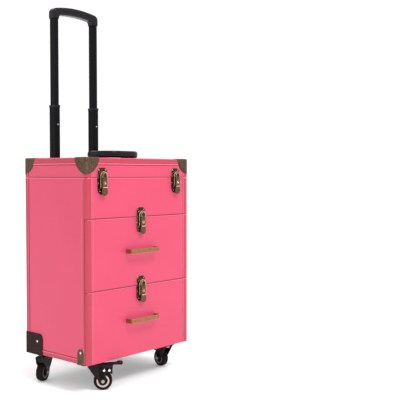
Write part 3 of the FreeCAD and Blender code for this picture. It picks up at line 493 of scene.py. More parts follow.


# Finishes of the CAD nodes. Rigid pieces with worked edges are copied, merged and softened, and their rounded
# edges are painted bright, partly as wear and partly as painted highlight.

behaviour = frame["record"]["behaviour"]
bodyOfNode = {name: body for body, names in behaviour["bodies"].items() for name in names}
joints = {row["name"]: row for row in behaviour["joints"]}
casterNames = ("front_left", "front_right", "rear_left", "rear_right")
leverNames = ("lid_catch_lever_left", "lid_catch_lever_right", "catch_lever_upper", "catch_lever_lower")
plateNames = (
    "catch_base_upper", "catch_base_lower", "catch_keeper_upper", "catch_keeper_lower",
    "lid_catch_bases", "lid_catch_keepers",
)

# Look, rounding of the edges (none where it is 0), nodes
finishes = [
    ("pinkLeather", 0.6, (
        "side_panel_left", "side_panel_right", "tray_front", "lid_front", "lid_sides", "lid_top",
    )),
    ("pinkLeather", 0.0, ("back_panel",)),
    ("pinkDrawer", 0.6, ("drawer_face_upper", "drawer_face_lower")),
    ("liningFelt", 0.0, (
        "tray_floor", "drawer_shelf", "drawer_box_upper", "drawer_box_lower", "bottom_panel",
    )),
    ("bronzeCap", 0.3, ("lid_corner_caps", "side_tabs")),
    ("bronzeCatch", 0.3, plateNames),
    ("bronzeLever", 0.35, leverNames),
    ("bronzePull", 0.4, ("drawer_pull_upper", "drawer_pull_lower")),
    ("darkGuard", 0.5, ("rear_guards",)),
    ("leafSteel", 0.0, ("hinge_leaf_body", "hinge_leaf_lid", "hinge_pin")),
    ("runnerSteel", 0.0, ("runner_channels", "drawer_runners_upper", "drawer_runners_lower")),
    ("brightSteel", 0.0, ("edge_rivets",)),
    ("blackTube", 0.0, ("trolley_outer_tubes", "trolley_mid_tubes", "trolley_upper_tubes")),
    ("blackPlastic", 0.4, ("trolley_top_bezel", "trolley_foot", "trolley_mid_collars")),
    ("blackPlastic", 0.0, ("trolley_button",)),
    ("gripPlastic", 0.0, ("trolley_grip", "carry_handle")),
    ("blackSteel", 0.3, ("carry_handle_brackets",)),
    ("brakeSteel", 0.3, ("caster_brake_front_left", "caster_brake_front_right")),
    ("blackSteel", 0.3, tuple("caster_fork_" + name for name in casterNames)),
    ("leafSteel", 0.3, ("caster_plates",)),
    ("blackRubber", 0.0, tuple("caster_wheel_" + name for name in casterNames)),
]
softening = {
    "mergeReach": 0.003,
    "flatAngle": 0.6,
    "sharpAngle": 28,
    "facingFront": -0.9,
    "cheekFrom": 8.5,
    "cheekTo": 7.5,
    "cheekHighlight": 0.8,
}


def softenedCopy(name, look, width):
    bm = bmesh.new()
    bm.from_mesh(frame["nodes"][name].data)
    bmesh.ops.scale(bm, vec=(perMetre,) * 3, verts=bm.verts)
    bmesh.ops.remove_doubles(bm, verts=bm.verts, dist=softening["mergeReach"])
    flat = math.radians(softening["flatAngle"])
    bmesh.ops.dissolve_limit(bm, angle_limit=flat, verts=bm.verts, edges=bm.edges, delimit=set())
    rounded = set(softenEdges(bm, width, softening["sharpAngle"]))
    wearAndHighlight = bm.loops.layers.float_color.new("edgeWearAndHighlight")
    nearest, farthest = front - softening["cheekFrom"], front - softening["cheekTo"]
    # Rounded faces get the full bright edge mark, partly wear and partly painted highlight.
    for face in bm.faces:
        amount = 1.0 if face in rounded else 0.0
        # Front faces of the catch plates between cheekFrom and cheekTo get a painted highlight band of
        # strength cheekHighlight.
        forward = face.normal.y < softening["facingFront"]
        if name in plateNames and forward and nearest < face.calc_center_median().y < farthest:
            amount = softening["cheekHighlight"]
        for loop in face.loops:
            loop[wearAndHighlight] = (amount, amount, amount, 1)
    piece = finishPiece(bm, name + "_soft", bodyOfNode[name], look, flatFaces=True)
    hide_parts(name)


for look, width, names in finishes:
    for name in names:
        mesh = frame["nodes"][name].data
        mesh.materials.clear()
        mesh.materials.append(looks[look])
        if width > 0:
            softenedCopy(name, look, width)
print("CAD nodes finished")


# Leather binding strips

binding = {
    "frontWidth": 17.5,
    "sideWidth": 15.0,
    "proud": 0.7,
    "sunk": 0.3,
    "endGap": 0.5,
    "edgeSoft": 0.3,
    "softAngle": 50,
    "cornerSegments": 6,
    "rimHeight": 16.5,
    "rimTop": 2.6,
    "rimGap": 0.2,
    "footHeight": 12.5,
    "recessBack": 1.6,
    "backLap": 0.3,
}


def wrapStrip(name, path, z0, z1, body):
    bm = bmesh.new()
    verts = [bm.verts.new((x, y, z0)) for x, y in path]
    edges = [bm.edges.new(pair) for pair in zip(verts, verts[1:])]
    raised = bmesh.ops.extrude_edge_only(bm, edges=edges)["geom"]
    top = [v for v in raised if isinstance(v, bmesh.types.BMVert)]
    bmesh.ops.translate(bm, vec=(0, 0, z1 - z0), verts=top)
    bends = [e for e in bm.edges if len(e.link_faces) == 2]
    if bends:
        roundEdges(bm, bends, case["corner"] - binding["sunk"], binding["cornerSegments"], clamp=False)
    bmesh.ops.recalc_face_normals(bm, faces=bm.faces)
    face = max(bm.faces, key=lambda f: f.calc_area())
    if face.normal.xy.dot(face.calc_center_median().xy) < 0:
        bmesh.ops.reverse_faces(bm, faces=bm.faces)
    thick = binding["proud"] + binding["sunk"]
    bmesh.ops.solidify(bm, geom=bm.faces[:], thickness=-thick)
    bmesh.ops.recalc_face_normals(bm, faces=bm.faces)
    softenEdges(bm, binding["edgeSoft"], binding["softAngle"])
    finishPiece(bm, name, body, "pinkBinding", flatFaces=True)


def wrapBothSides(label, path, z0, z1, body):
    for sideName, side in (("Left", -1), ("Right", 1)):
        wrapStrip(label + sideName, [(side * x, y) for x, y in path], z0, z1, body)


proud, gap = binding["proud"], binding["endGap"]
skinX, skinFront, skinBack = half - binding["sunk"], front + binding["sunk"], back - binding["sunk"]
rimLow = case["top"] - binding["rimHeight"]
footTop = case["bottom"] + binding["footHeight"]
faceBack = upperHigh.y
recess = faceBack + binding["recessBack"]
frontEdge = half - binding["frontWidth"]
sideEdge = front + binding["sideWidth"]
backEdge = back - binding["sideWidth"]
lidBackX = case["innerHalf"] + binding["backLap"]

frontPath = [(frontEdge, skinFront), (skinX, skinFront), (skinX, sideEdge)]
facePath = [(frontEdge, skinFront), (skinX, skinFront), (skinX, faceBack)]
sidePath = [(skinX, recess + gap), (skinX, sideEdge)]
backPath = [(skinX, backEdge), (skinX, skinBack), (frontEdge, skinBack)]
lidBackPath = [(skinX, backEdge), (skinX, skinBack), (lidBackX, skinBack)]
footPath = [(skinX, sideEdge), (skinX, backEdge)]

stripRows = [
    ("trayCorner", frontPath, trayLow.z + gap, trayHigh.z - gap, "case"),
    ("lidCorner", frontPath, case["lidBottom"] + gap, rimLow, "lid"),
    ("upperFaceEnd", facePath, upperLow.z + gap, upperHigh.z - gap, "drawer_upper"),
    ("lowerFaceEnd", facePath, lowerLow.z + gap, lowerHigh.z - gap, "drawer_lower"),
    ("sideFrontEdge", sidePath, case["bottom"] + gap, trayLow.z - gap, "case"),
    ("sideBackEdge", backPath, case["bottom"] + gap, case["sideTop"] - gap, "case"),
    ("lidBackCorner", lidBackPath, case["lidBottom"] + gap, rimLow, "lid"),
]
for row in stripRows:
    wrapBothSides(*row)
lidLoop = [
    (-lidBackX, skinBack), (-skinX, skinBack), (-skinX, skinFront),
    (skinX, skinFront), (skinX, skinBack), (lidBackX, skinBack),
]
wrapStrip("lidRim", lidLoop, rimLow + binding["rimGap"], case["top"] - binding["rimTop"], "lid")
wrapBothSides("sideFoot", footPath, case["bottom"] + gap, footTop, "case")
print("binding strips made")


# Stitching on the strips and beside them

stitching = {
    "inset": 1.8,
    "length": 3.0,
    "pitch": 4.4,
    "threadRadius": 0.38,
    "around": 6,
    "across": 4,
    "sideShift": 1.2,
    "panelAway": 3.4,
    "sidePanelAway": 2.6,
    "onPanel": 0.1,
    "endIn": 1,
    "panelEndIn": 3,
    "rimEndIn": 8,
    "aboveFoot": 30,
}
threads = {name: bmesh.new() for name in ("case", "lid", "drawer_upper", "drawer_lower")}
frontSpans = {
    "case": (trayLow.z, trayHigh.z),
    "drawer_upper": (upperLow.z, upperHigh.z),
    "drawer_lower": (lowerLow.z, lowerHigh.z),
    "lid": (case["lidBottom"], rimLow),
}
sideSpans = {"case": (case["bottom"], case["sideTop"]), "lid": (case["lidBottom"], rimLow)}


def stitchRow(body, start, end):
    start, end = Vector(start), Vector(end)
    run = end - start
    count = max(1, int(run.length // stitching["pitch"]))
    radius = stitching["threadRadius"]
    bm = bmesh.new()
    made = bmesh.ops.create_uvsphere(
        bm, u_segments=stitching["around"], v_segments=stitching["across"], radius=radius
    )
    bmesh.ops.scale(bm, vec=(1, 1, stitching["length"] / 2 / radius), verts=made["verts"])
    first = start + run * (0.5 / count)
    bmesh.ops.transform(bm, matrix=Matrix.Translation(first) @ turnTo(run), verts=bm.verts)
    one = bm.verts[:] + bm.edges[:] + bm.faces[:]
    for i in range(1, count):
        copied = bmesh.ops.duplicate(bm, geom=one)["geom"]
        verts = [g for g in copied if isinstance(g, bmesh.types.BMVert)]
        bmesh.ops.translate(bm, vec=run * (i / count), verts=verts)
    addTo(threads[body], bm)


inset = stitching["inset"]
stripFront, stripSide = front - proud, half + proud
panelFront, panelSide = front - stitching["onPanel"], half + stitching["onPanel"]
frontLine = frontEdge + inset
sideLine = sideEdge - inset - stitching["sideShift"]
backLine = backEdge + inset
panelLine = frontEdge - stitching["panelAway"]
sidePanelLine = sideEdge + stitching["sidePanelAway"]
rimLine, rimEnd = rimLow + inset, stitching["rimEndIn"]
uprightRows = [(body, frontLine, stripFront, span, "endIn") for body, span in frontSpans.items()]
for body, span in sideSpans.items():
    uprightRows += [(body, stripSide, y, span, "endIn") for y in (sideLine, backLine)]
uprightRows.append(("case", frontLine, back + proud, sideSpans["case"], "endIn"))
uprightRows += [(body, panelLine, panelFront, span, "panelEndIn") for body, span in frontSpans.items()]
uprightRows.append(("lid", panelSide, sidePanelLine, sideSpans["lid"], "panelEndIn"))
rows = []
for body, x, y, (z0, z1), endIn in uprightRows:
    rows.append((body, (x, y, z0 + stitching[endIn]), (x, y, z1 - stitching[endIn])))
sidePanelTop = case["sideTop"] - stitching["panelEndIn"]
rows += [
    ("case", (stripSide, sideLine, footTop - inset), (stripSide, backLine, footTop - inset)),
    ("lid", (stripSide, front + rimEnd, rimLine), (stripSide, back - rimEnd, rimLine)),
    (
        "case", (panelSide, sidePanelLine, footTop + stitching["aboveFoot"]),
        (panelSide, sidePanelLine, sidePanelTop),
    ),
]
for body, start, end in rows:
    for side in (-1, 1):
        stitchRow(body, (side * start[0], *start[1:]), (side * end[0], *end[1:]))
stitchRow("lid", (-half + rimEnd, stripFront, rimLine), (half - rimEnd, stripFront, rimLine))
for body, bm in threads.items():
    finishPiece(bm, "stitching_" + body, body, "pinkThread")
print("stitching made")


# Raised piping along the worked edges, its light pink a painted highlight, with a deep-pink bar beside each
# that is painted shade in the seams and gaps, and the lips round the tray in the same deep pink

edging = {
    "cord": 0.85,
    "fine": 0.5,
    "cordSides": 8,
    "cordSoft": 0.4,
    "cordSoftAngle": 60,
    "cordOut": 0.3,
    "cordIn": 1.0,
    "grooveWidth": 2.2,
    "grooveOut": 0.15,
    "grooveIn": 0.4,
    "seamGap": 0.2,
    "seamHigh": 2.2,
    "seamSoft": 0.1,
    "topEndIn": 2.5,
    "endIn": 4.8,
    "catchGap": 15.6,
    "footFrontIn": 36,
    "footBackIn": 14,
    "bedIn": 1.2,
    "uprightEndIn": 2,
    "lowEndIn": 1,
    "fineOn": 0.8,
    "fineSunk": 0.1,
    "fineGroove": 1.2,
    "fineSoft": 0.08,
    "recessFront": 0.5,
    "recessIn": 4,
    "recessOut": 0.2,
    "recessSoft": 0.15,
    "lipThick": 1.2,
    "lipRise": 3.0,
    "lipDrop": 8.0,
    "lipAway": 0.05,
    "lipClear": 0.1,
    "lipBackIn": 10,
    "lipSoft": 0.3,
}


def cord(whole, start, end, size="cord"):
    start, end = Vector(start), Vector(end)
    run = end - start
    radius = edging[size]
    bm = bmesh.new()
    bmesh.ops.create_cone(
        bm, cap_ends=True, segments=edging["cordSides"], radius1=radius, radius2=radius, depth=run.length
    )
    softenEdges(bm, radius * edging["cordSoft"], edging["cordSoftAngle"])
    placeOn(whole, bm, (start + end) / 2, run)


def bar(whole, low, high, soft=0.2):
    low, high = Vector(low), Vector(high)
    bm = bmesh.new()
    bmesh.ops.create_cube(bm, size=1)
    bmesh.ops.scale(bm, vec=[abs(part) for part in high - low], verts=bm.verts)
    bmesh.ops.translate(bm, vec=(low + high) / 2, verts=bm.verts)
    softenEdges(bm, soft)
    addTo(whole, bm)


def spansAround(reach, middles):
    stops = [-reach]
    for middle in middles:
        stops += [middle - edging["catchGap"], middle + edging["catchGap"]]
    stops.append(reach)
    return list(zip(stops[::2], stops[1::2]))


catchLow, catchHigh = nodeBox("lid_catch_lever_right")
catchX = (catchLow.x + catchHigh.x) / 2
frontSkin = front - edging["cordOut"]
out, into, wide = edging["grooveOut"], edging["grooveIn"], edging["grooveWidth"]
cordIn, bedIn, endIn, uprightIn = edging["cordIn"], edging["bedIn"], edging["endIn"], edging["uprightEndIn"]
cords = {name: bmesh.new() for name in ("case", "lid", "drawer_upper", "drawer_lower")}
shadeBarsAndLips = {name: bmesh.new() for name in cords}
lidSeamShade = bmesh.new()

# Body under the seam, body above it, level of the seam, places of the catches across it
seams = [
    ("case", "lid", trayHigh.z, (-catchX, catchX)),
    ("drawer_upper", "case", upperHigh.z, (0,)),
    ("drawer_lower", "drawer_upper", lowerHigh.z, (0,)),
]
for under, over, level, middles in seams:
    for x0, x1 in spansAround(half - edging["topEndIn"], middles):
        cord(cords[under], (x0, frontSkin, level - cordIn), (x1, frontSkin, level - cordIn))
    # A bar over each seam is painted shade in the joint: binding colour under the lid, seam pink elsewhere.
    low, high = level + edging["seamGap"], level + edging["seamHigh"]
    whole = lidSeamShade if over == "lid" else shadeBarsAndLips[over]
    for x0, x1 in spansAround(half - endIn, middles):
        bar(whole, (x0, stripFront - out, low), (x1, front + into, high), edging["seamSoft"])

rimCord, rimGroove = rimLow + cordIn, rimLow - wide
frontReach = half - endIn
cord(cords["lid"], (-frontReach, frontSkin, rimCord), (frontReach, frontSkin, rimCord))
bar(shadeBarsAndLips["lid"], (-frontReach, front - out, rimGroove), (frontReach, front + into, rimLow))
sideTop = case["sideTop"]
sideStart, sideEnd = front + endIn, back - endIn
footStart, footEnd = front + edging["footFrontIn"], back - edging["footBackIn"]
recessLow, recessHigh = case["bottom"] + edging["lowEndIn"], trayLow.z - edging["lowEndIn"]
lipLow, lipHigh = case["lidBottom"] - edging["lipDrop"], case["lidBottom"] + edging["lipRise"]
lipX, lipY = case["innerHalf"] - edging["lipAway"], trayHigh.y + edging["lipAway"]
backEdges = (
    ("case", case["bottom"] + edging["lowEndIn"], sideTop - uprightIn),
    ("lid", case["lidBottom"] + uprightIn, rimLow - uprightIn),
)
for side in (-1, 1):
    outer, inner, skin = side * (half + out), side * (half - into), side * stripSide
    edgeOut = side * (half + edging["cordOut"])
    cord(cords["lid"], (edgeOut, sideStart, rimCord), (edgeOut, sideEnd, rimCord))
    bar(shadeBarsAndLips["lid"], (inner, sideStart, rimGroove), (outer, sideEnd, rimLow))
    cord(cords["case"], (edgeOut, sideStart, sideTop - cordIn), (edgeOut, sideEnd, sideTop - cordIn))
    bar(
        lidSeamShade, (inner, sideStart, sideTop + edging["seamGap"]),
        (side * (stripSide + out), sideEnd, sideTop + edging["seamHigh"]), edging["seamSoft"],
    )
    cord(cords["case"], (skin, footStart, footTop - bedIn), (skin, footEnd, footTop - bedIn))
    bar(shadeBarsAndLips["case"], (inner, footStart, footTop), (outer, footEnd, footTop + wide))
    for body, z0, z1 in backEdges:
        bar(shadeBarsAndLips[body], (inner, backEdge - wide, z0), (outer, backEdge, z1))
        cord(cords[body], (skin, backEdge + bedIn, z0), (skin, backEdge + bedIn, z1), "fine")
    fineX, fineY = side * (frontEdge + edging["fineOn"]), stripFront + edging["fineSunk"]
    for body, (z0, z1) in frontSpans.items():
        z0, z1 = z0 + uprightIn, z1 - uprightIn
        cord(cords[body], (fineX, fineY, z0), (fineX, fineY, z1), "fine")
        bar(
            shadeBarsAndLips[body], (side * (frontEdge - edging["fineGroove"]), front - out, z0),
            (side * frontEdge, front + into, z1), edging["fineSoft"],
        )
    # Painted shade in the recess between the drawer faces and the side panel.
    bar(
        shadeBarsAndLips["case"],
        (side * (half - edging["recessIn"]), faceBack + edging["recessFront"], recessLow),
        (side * (half + edging["recessOut"]), recess + gap, recessHigh), edging["recessSoft"],
    )
    bar(
        shadeBarsAndLips["case"], (side * lipX, trayHigh.y + edging["lipClear"], lipLow),
        (side * (lipX - edging["lipThick"]), back - edging["lipBackIn"], lipHigh), edging["lipSoft"],
    )
lipReach = case["innerHalf"] - edging["lipClear"]
bar(
    shadeBarsAndLips["case"], (-lipReach, lipY, lipLow), (lipReach, lipY + edging["lipThick"], lipHigh),
    edging["lipSoft"],
)
# The raised piping cords carry a light pink that is painted highlight along the edges.
for body, bm in cords.items():
    finishPiece(bm, "piping_" + body, body, "pinkPiping")
# These bars are painted shade in the seams and gaps; the tray lips share their deep pink.
for body, bm in shadeBarsAndLips.items():
    finishPiece(bm, "shadeBarsAndLips_" + body, body, "pinkSeam", flatFaces=True)
# The lid's seam bars in the binding colour are painted shade along the joint.
finishPiece(lidSeamShade, "seam_lid", "lid", "pinkBinding", flatFaces=True)
print("piping and grooves made")


# Nails of the caps and catches, and the trim of the levers. A dome is its radius and rise.

fixings = {
    "domeAround": 20,
    "domeAcross": 24,
    "domeSunk": 0.1,
    "cutReach": 0.0001,
    "capNail": (1.7, 0.7),
    "capNailPlaces": ((8.0, 30.0), (28.0, 8.0)),
    "capSheet": 1.2,
    "nail": (1.35, 0.6),
    "keeperNail": (10.2, 18.8),
    "baseNails": ((13.2, -13.9), (7.6, -33.0)),
    "catchSheet": 1.2,
    "lidSeamDrop": 0.2,
    "leverOut": 11.1,
    "stud": (1.9, 0.8),
    "studOut": 1.4,
    "studDrop": 13.4,
    "ring": 3.5,
    "ringSteps": 20,
    "ringWire": 0.5,
    "wireSides": 8,
    "barReach": 7.0,
    "barOut": (1.5, 0.6),
    "barDrop": (24.4, 22.4),
    "barSoft": 0.35,
}


def domeHead(whole, place, outward, radius, rise):
    ball = (radius**2 + rise**2) / (2 * rise)
    bm = bmesh.new()
    bmesh.ops.create_uvsphere(
        bm, u_segments=fixings["domeAround"], v_segments=fixings["domeAcross"], radius=ball
    )
    bmesh.ops.bisect_plane(
        bm, geom=bm.verts[:] + bm.edges[:] + bm.faces[:], plane_co=(0, 0, ball - rise),
        plane_no=(0, 0, 1), clear_inner=True, dist=fixings["cutReach"],
    )
    bmesh.ops.edgeloop_fill(bm, edges=[e for e in bm.edges if e.is_boundary])
    bmesh.ops.recalc_face_normals(bm, faces=bm.faces)
    placeOn(whole, bm, place, outward, rise - ball - fixings["domeSunk"])


def wireRing(whole, place):
    bm = bmesh.new()
    bmesh.ops.create_circle(bm, cap_ends=False, segments=fixings["wireSides"], radius=fixings["ringWire"])
    bmesh.ops.rotate(bm, cent=(0, 0, 0), matrix=quarterTurn, verts=bm.verts)
    bmesh.ops.translate(bm, vec=(fixings["ring"], 0, 0), verts=bm.verts)
    spinAround(bm, bm.verts[:] + bm.edges[:], fixings["ringSteps"])
    bmesh.ops.recalc_face_normals(bm, faces=bm.faces)
    bmesh.ops.rotate(bm, cent=(0, 0, 0), matrix=quarterTurn, verts=bm.verts)
    bmesh.ops.translate(bm, vec=place, verts=bm.verts)
    addTo(whole, bm)


capNails = bmesh.new()
capFront, capSide = front - fixings["capSheet"], half + fixings["capSheet"]
for side in (-1, 1):
    for along, drop in fixings["capNailPlaces"]:
        level = case["top"] - drop
        domeHead(capNails, (side * (half - along), capFront, level), (0, -1, 0), *fixings["capNail"])
        for y in (front + along, back - along):
            domeHead(capNails, (side * capSide, y, level), (side, 0, 0), *fixings["capNail"])
finishPiece(capNails, "capNails", "lid", "bronzeCap")

lidSeamZ = case["lidBottom"] - fixings["lidSeamDrop"]
catches = [
    ("lidLeft", -catchX, lidSeamZ, "lid_catch_bases", "lid_catch_keepers", "lid_catch_lever_left"),
    ("lidRight", catchX, lidSeamZ, "lid_catch_bases", "lid_catch_keepers", "lid_catch_lever_right"),
]
for label, seamZ in (("upper", (upperHigh.z + trayLow.z) / 2), ("lower", (lowerHigh.z + upperLow.z) / 2)):
    nodes = ["catch_" + part + "_" + label for part in ("base", "keeper", "lever")]
    catches.append((label, 0, seamZ, *nodes))
plateFace, leverFace = front - fixings["catchSheet"], front - fixings["leverOut"]
for label, x, seamZ, baseNode, keeperNode, leverNode in catches:
    baseNails, keeperNails, leverTrim = bmesh.new(), bmesh.new(), bmesh.new()
    nailRows = [(keeperNails, fixings["keeperNail"])] + [(baseNails, row) for row in fixings["baseNails"]]
    for side in (-1, 1):
        for whole, (along, rise) in nailRows:
            domeHead(whole, (x + side * along, plateFace, seamZ + rise), (0, -1, 0), *fixings["nail"])
    studZ = seamZ - fixings["studDrop"]
    domeHead(leverTrim, (x, leverFace - fixings["studOut"], studZ), (0, -1, 0), *fixings["stud"])
    wireRing(leverTrim, (x, leverFace, studZ))
    barLow, barHigh = [
        (x + way * fixings["barReach"], leverFace - away, seamZ - drop)
        for way, away, drop in zip((-1, 1), fixings["barOut"], fixings["barDrop"])
    ]
    bar(leverTrim, barLow, barHigh, fixings["barSoft"])
    for bm, prefix, ridden in (
        (baseNails, "catchNails_", baseNode),
        (keeperNails, "keeperNails_", keeperNode),
        (leverTrim, "leverTrim_", leverNode),
    ):
        finishPiece(bm, prefix + label, bodyOfNode[ridden], "paleBrass")


# Screws, spun from one profile, and the heads of the stop rivets

screws = {
    "profile": ((0, 0.35), (1.0, 0.35), (1.25, 1.0), (2.1, 0.95), (2.7, 0.5), (2.8, -0.2), (0, -0.2)),
    "steps": 20,
    "mergeReach": 0.001,
    "hingeXs": (-116, -38, 0, 38, 116),
    "leafThick": 1.0,
    "bodyLeafRise": 8,
    "lidLeafIn": 9,
    "bracketIn": 11,
    "bracketAlong": 11.5,
    "bracketThick": 1.6,
    "wingIn": 6.5,
    "wingThick": 5.0,
    "bezelRise": 8,
}
stop = {"in": 6.6, "drop": 52, "dome": (2.3, 0.2)}


def spun(profile, steps):
    bm = bmesh.new()
    verts = [bm.verts.new((radius, 0, across)) for radius, across in profile]
    edges = [bm.edges.new(pair) for pair in zip(verts, verts[1:] + verts[:1])]
    spinAround(bm, verts + edges, steps)
    bmesh.ops.remove_doubles(bm, verts=bm.verts, dist=screws["mergeReach"])
    bmesh.ops.dissolve_degenerate(bm, edges=bm.edges, dist=screws["mergeReach"])
    bmesh.ops.recalc_face_normals(bm, faces=bm.faces)
    return bm


def screwRow(name, body, look, places, outward):
    whole = bmesh.new()
    for place in places:
        placeOn(whole, spun(screws["profile"], screws["steps"]), place, outward)
    finishPiece(whole, name, body, look)


leafY, leafZ = back + screws["leafThick"], nodeBox("hinge_leaf_body")[0].z + screws["bodyLeafRise"]
lidLeafY = nodeBox("hinge_leaf_lid")[0].y + screws["lidLeafIn"]
lidLeafZ = case["top"] + screws["leafThick"]
bracketLow, bracketHigh = nodeBox("carry_handle_brackets")
bracketX, bracketY = bracketHigh.x - screws["bracketIn"], (bracketLow.y + bracketHigh.y) / 2
bracketZ = case["top"] + screws["bracketThick"]
alongs = (-screws["bracketAlong"], screws["bracketAlong"])
wingY, wingIn = back + screws["wingThick"], screws["wingIn"]
wingPlaces = []
bezelRises = (-screws["bezelRise"], screws["bezelRise"])
for name, rises in (("trolley_top_bezel", bezelRises), ("trolley_foot", (0,))):
    low, high = nodeBox(name)
    middleZ = (low.z + high.z) / 2
    wingPlaces += [(side * (high.x - wingIn), wingY, middleZ + rise) for side in (-1, 1) for rise in rises]

screwRow(
    "hingeScrewsBody", "case", "brightSteel",
    [(x, leafY, leafZ) for x in screws["hingeXs"]], (0, 1, 0),
)
screwRow(
    "hingeScrewsLid", "lid", "brightSteel",
    [(x, lidLeafY, lidLeafZ) for x in screws["hingeXs"]], (0, 0, 1),
)
screwRow(
    "bracketScrews", "lid", "blackSteel",
    [(side * bracketX, bracketY + along, bracketZ) for side in (-1, 1) for along in alongs], (0, 0, 1),
)
screwRow("wingScrews", "case", "blackSteel", wingPlaces, (0, 1, 0))

stopHeads = bmesh.new()
stopX = nodeBox("trolley_upper_tubes")[1].x - stop["in"]
stopZ = nodeBox("trolley_mid_collars")[1].z - stop["drop"]
for side in (-1, 1):
    place = (side * stopX, nodeBox("trolley_mid_tubes")[0].y, stopZ)
    domeHead(stopHeads, place, (0, -1, 0), *stop["dome"])
finishPiece(stopHeads, "stopRivetHeads", "trolley_mid", "brightSteel")
print("fixings made")


# Casters: tyre, ring and spoked web on each wheel, nuts on the axle, heads on the fork's cross pins

wheel = {
    "tyre": (
        (15.8, -8.4), (19.4, -9.0), (21.3, -8.4), (22.5, -6.6), (23.0, -3.6), (23.0, 3.6),
        (22.5, 6.6), (21.3, 8.4), (19.4, 9.0), (15.8, 8.4),
    ),
    "ring": (
        (11.6, -7.8), (12.3, -8.5), (15.3, -8.6), (16.0, -7.9), (16.0, 7.9), (15.3, 8.6),
        (12.3, 8.5), (11.6, 7.8),
    ),
    "web": (
        (3.1, -7.5), (5.4, -7.5), (6.0, -6.9), (6.3, -3.4), (11.8, -3.0), (11.8, 3.0),
        (6.3, 3.4), (6.0, 6.9), (5.4, 7.5), (3.1, 7.5),
    ),
    "steps": 56,
    "spokes": 6,
    "spokeLow": (5.6, -1.2, -5.6),
    "spokeHigh": (11.9, 1.2, 5.6),
    "spokeSoft": 0.4,
    "washer": ((0, -0.2), (4.3, -0.2), (4.5, 0.1), (4.3, 0.5), (0, 0.5)),
    "washerSteps": 24,
    "nut": 3.6,
    "nutHeight": 1.9,
    "nutSoft": 0.4,
    "nutStand": 0.4,
    "axleEnd": (2.2, 0.9),
    "pinHead": (3.1, 1.1),
    "pinSetBacks": (0, 13.0),
    "underPlate": 54,
}


def jointPlace(name):
    return Vector(joints[name]["pos_m"]) * perMetre


def reachAlong(name, centre, axis):
    points = [v.co * perMetre for v in frame["nodes"][name].data.vertices]
    return max((point - centre).dot(axis) for point in points if point.z < wheel["underPlate"])


def addSpokes(whole):
    for i in range(wheel["spokes"]):
        spoke = bmesh.new()
        bar(spoke, wheel["spokeLow"], wheel["spokeHigh"], wheel["spokeSoft"])
        turned = Matrix.Rotation(math.radians(360 * i / wheel["spokes"]), 3, "Z")
        bmesh.ops.rotate(spoke, cent=(0, 0, 0), matrix=turned, verts=spoke.verts)
        addTo(whole, spoke)


def addNut(whole, face, outward):
    placeOn(whole, spun(wheel["washer"], wheel["washerSteps"]), face, outward)
    radius, height, stand = wheel["nut"], wheel["nutHeight"], wheel["nutStand"]
    nut = bmesh.new()
    bmesh.ops.create_cone(nut, cap_ends=True, segments=6, radius1=radius, radius2=radius, depth=height)
    softenEdges(nut, wheel["nutSoft"])
    placeOn(whole, nut, face + outward * (stand + height / 2), outward)
    domeHead(whole, face + outward * (stand + height), outward, *wheel["axleEnd"])


for name in casterNames:
    centre = jointPlace("wheel_" + name)
    axis = Vector(joints["wheel_" + name]["axis"])
    reach = reachAlong("caster_fork_" + name, centre, axis)
    forkBody = bodyOfNode["caster_fork_" + name]
    # Only the front-left ring keeps the pale hub colour; the other rings get the darker shadedHub, painted
    # shade.
    ringLook = "hubPlastic" if name == "front_left" else "shadedHub"
    for part, look in (("tyre", "blackRubber"), ("ring", ringLook), ("web", "blackPlastic")):
        turnedPart = spun(wheel[part], wheel["steps"])
        if part == "web":
            addSpokes(turnedPart)
        whole = bmesh.new()
        placeOn(whole, turnedPart, centre, axis)
        wheelBody = bodyOfNode["caster_wheel_" + name]
        piece = finishPiece(whole, f"wheel_{part}_{name}", wheelBody, look)
        if part == "tyre":
            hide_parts("caster_wheel_" + name)
    nuts = bmesh.new()
    for side in (-1, 1):
        addNut(nuts, centre + axis * side * reach, axis * side)
    finishPiece(nuts, "axleNuts_" + name, forkBody, "nutSteel")
    if name.startswith("front"):
        heads = bmesh.new()
        heading = (centre - jointPlace("swivel_" + name)) * Vector((1, 1, 0))
        heading.normalize()
        pivot = jointPlace("brake_" + name)
        for side in (-1, 1):
            for setBack in wheel["pinSetBacks"]:
                place = pivot - heading * setBack + axis * side * reach
                domeHead(heads, place, axis * side, *wheel["pinHead"])
        finishPiece(heads, "pinHeads_" + name, forkBody, "brightSteel")
print("casters made")


# Floor, light and camera

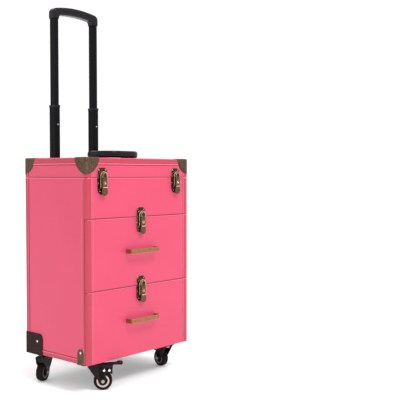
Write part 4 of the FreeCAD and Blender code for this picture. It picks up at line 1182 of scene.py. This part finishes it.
studio = {
    "floorSize": 80.0,
    "floorSquares": 4,
    "floorColor": (0.96, 0.96, 0.96),
    "floorGlow": 0.18,
    "floorRough": 0.8,
    "floorShine": 0.1,
    "worldColor": (1.0, 1.0, 1.0),
    "worldStrength": 1.05,
    "lightsAim": (0, 0, 0.4),
    "lights": [
        ("keyLight", (-0.1, -2.3, 3.1), 1.0, 58.0),
        ("sideLight", (-3.2, -0.4, 1.6), 2.2, 6.0),
        ("backLight", (0.5, 3.0, 2.6), 2.6, 10.0),
    ],
    "cameraPlace": (-1.331, -1.474, 0.533),
    "cameraYaw": 49.27,
    "cameraPitch": 2.04,
    "lens": 66.5,
    "sensor": 36.0,
}


def link(name, data, place=(0, 0, 0), facing=None):
    made = bpy.data.objects.new(name, data)
    made.location = place
    if facing is not None:
        made.rotation_mode = "QUATERNION"
        made.rotation_quaternion = facing.to_track_quat("-Z", "Y")
    bpy.context.collection.objects.link(made)
    return made


bpy.context.scene.view_settings.view_transform = "Standard"
floorMesh = bpy.data.meshes.new("floor")
bm = bmesh.new()
squares = studio["floorSquares"]
bmesh.ops.create_grid(bm, x_segments=squares, y_segments=squares, size=studio["floorSize"] / 2)
bm.to_mesh(floorMesh)
bm.free()
floor = link("floor", floorMesh)
floorShader = newMaterial("paleFloor", studio["floorColor"])[1]
for key, value in (
    ("Base Color", (*studio["floorColor"], 1)),
    ("Roughness", studio["floorRough"]),
    ("Specular IOR Level", studio["floorShine"]),
    ("Emission Color", (*studio["floorColor"], 1)),
    ("Emission Strength", studio["floorGlow"]),
):
    floorShader.inputs[key].default_value = value
floorMesh.materials.append(looks["paleFloor"])

world = bpy.data.worlds.new("studio")
bpy.context.scene.world = world
world.use_nodes = True
background = world.node_tree.nodes["Background"]
background.inputs["Color"].default_value = (*studio["worldColor"], 1)
background.inputs["Strength"].default_value = studio["worldStrength"]

for name, place, size, power in studio["lights"]:
    data = bpy.data.lights.new(name, "AREA")
    data.shape = "SQUARE"
    data.size = size
    data.energy = power
    link(name, data, place, Vector(studio["lightsAim"]) - Vector(place))

cameraData = bpy.data.cameras.new("camera")
cameraData.lens = studio["lens"]
cameraData.sensor_width = studio["sensor"]
yaw, pitch = math.radians(studio["cameraYaw"]), math.radians(studio["cameraPitch"])
facing = Vector((math.sin(yaw) * math.cos(pitch), math.cos(yaw) * math.cos(pitch), -math.sin(pitch)))
bpy.context.scene.camera = link("camera", cameraData, studio["cameraPlace"], facing)
print("studio ready")
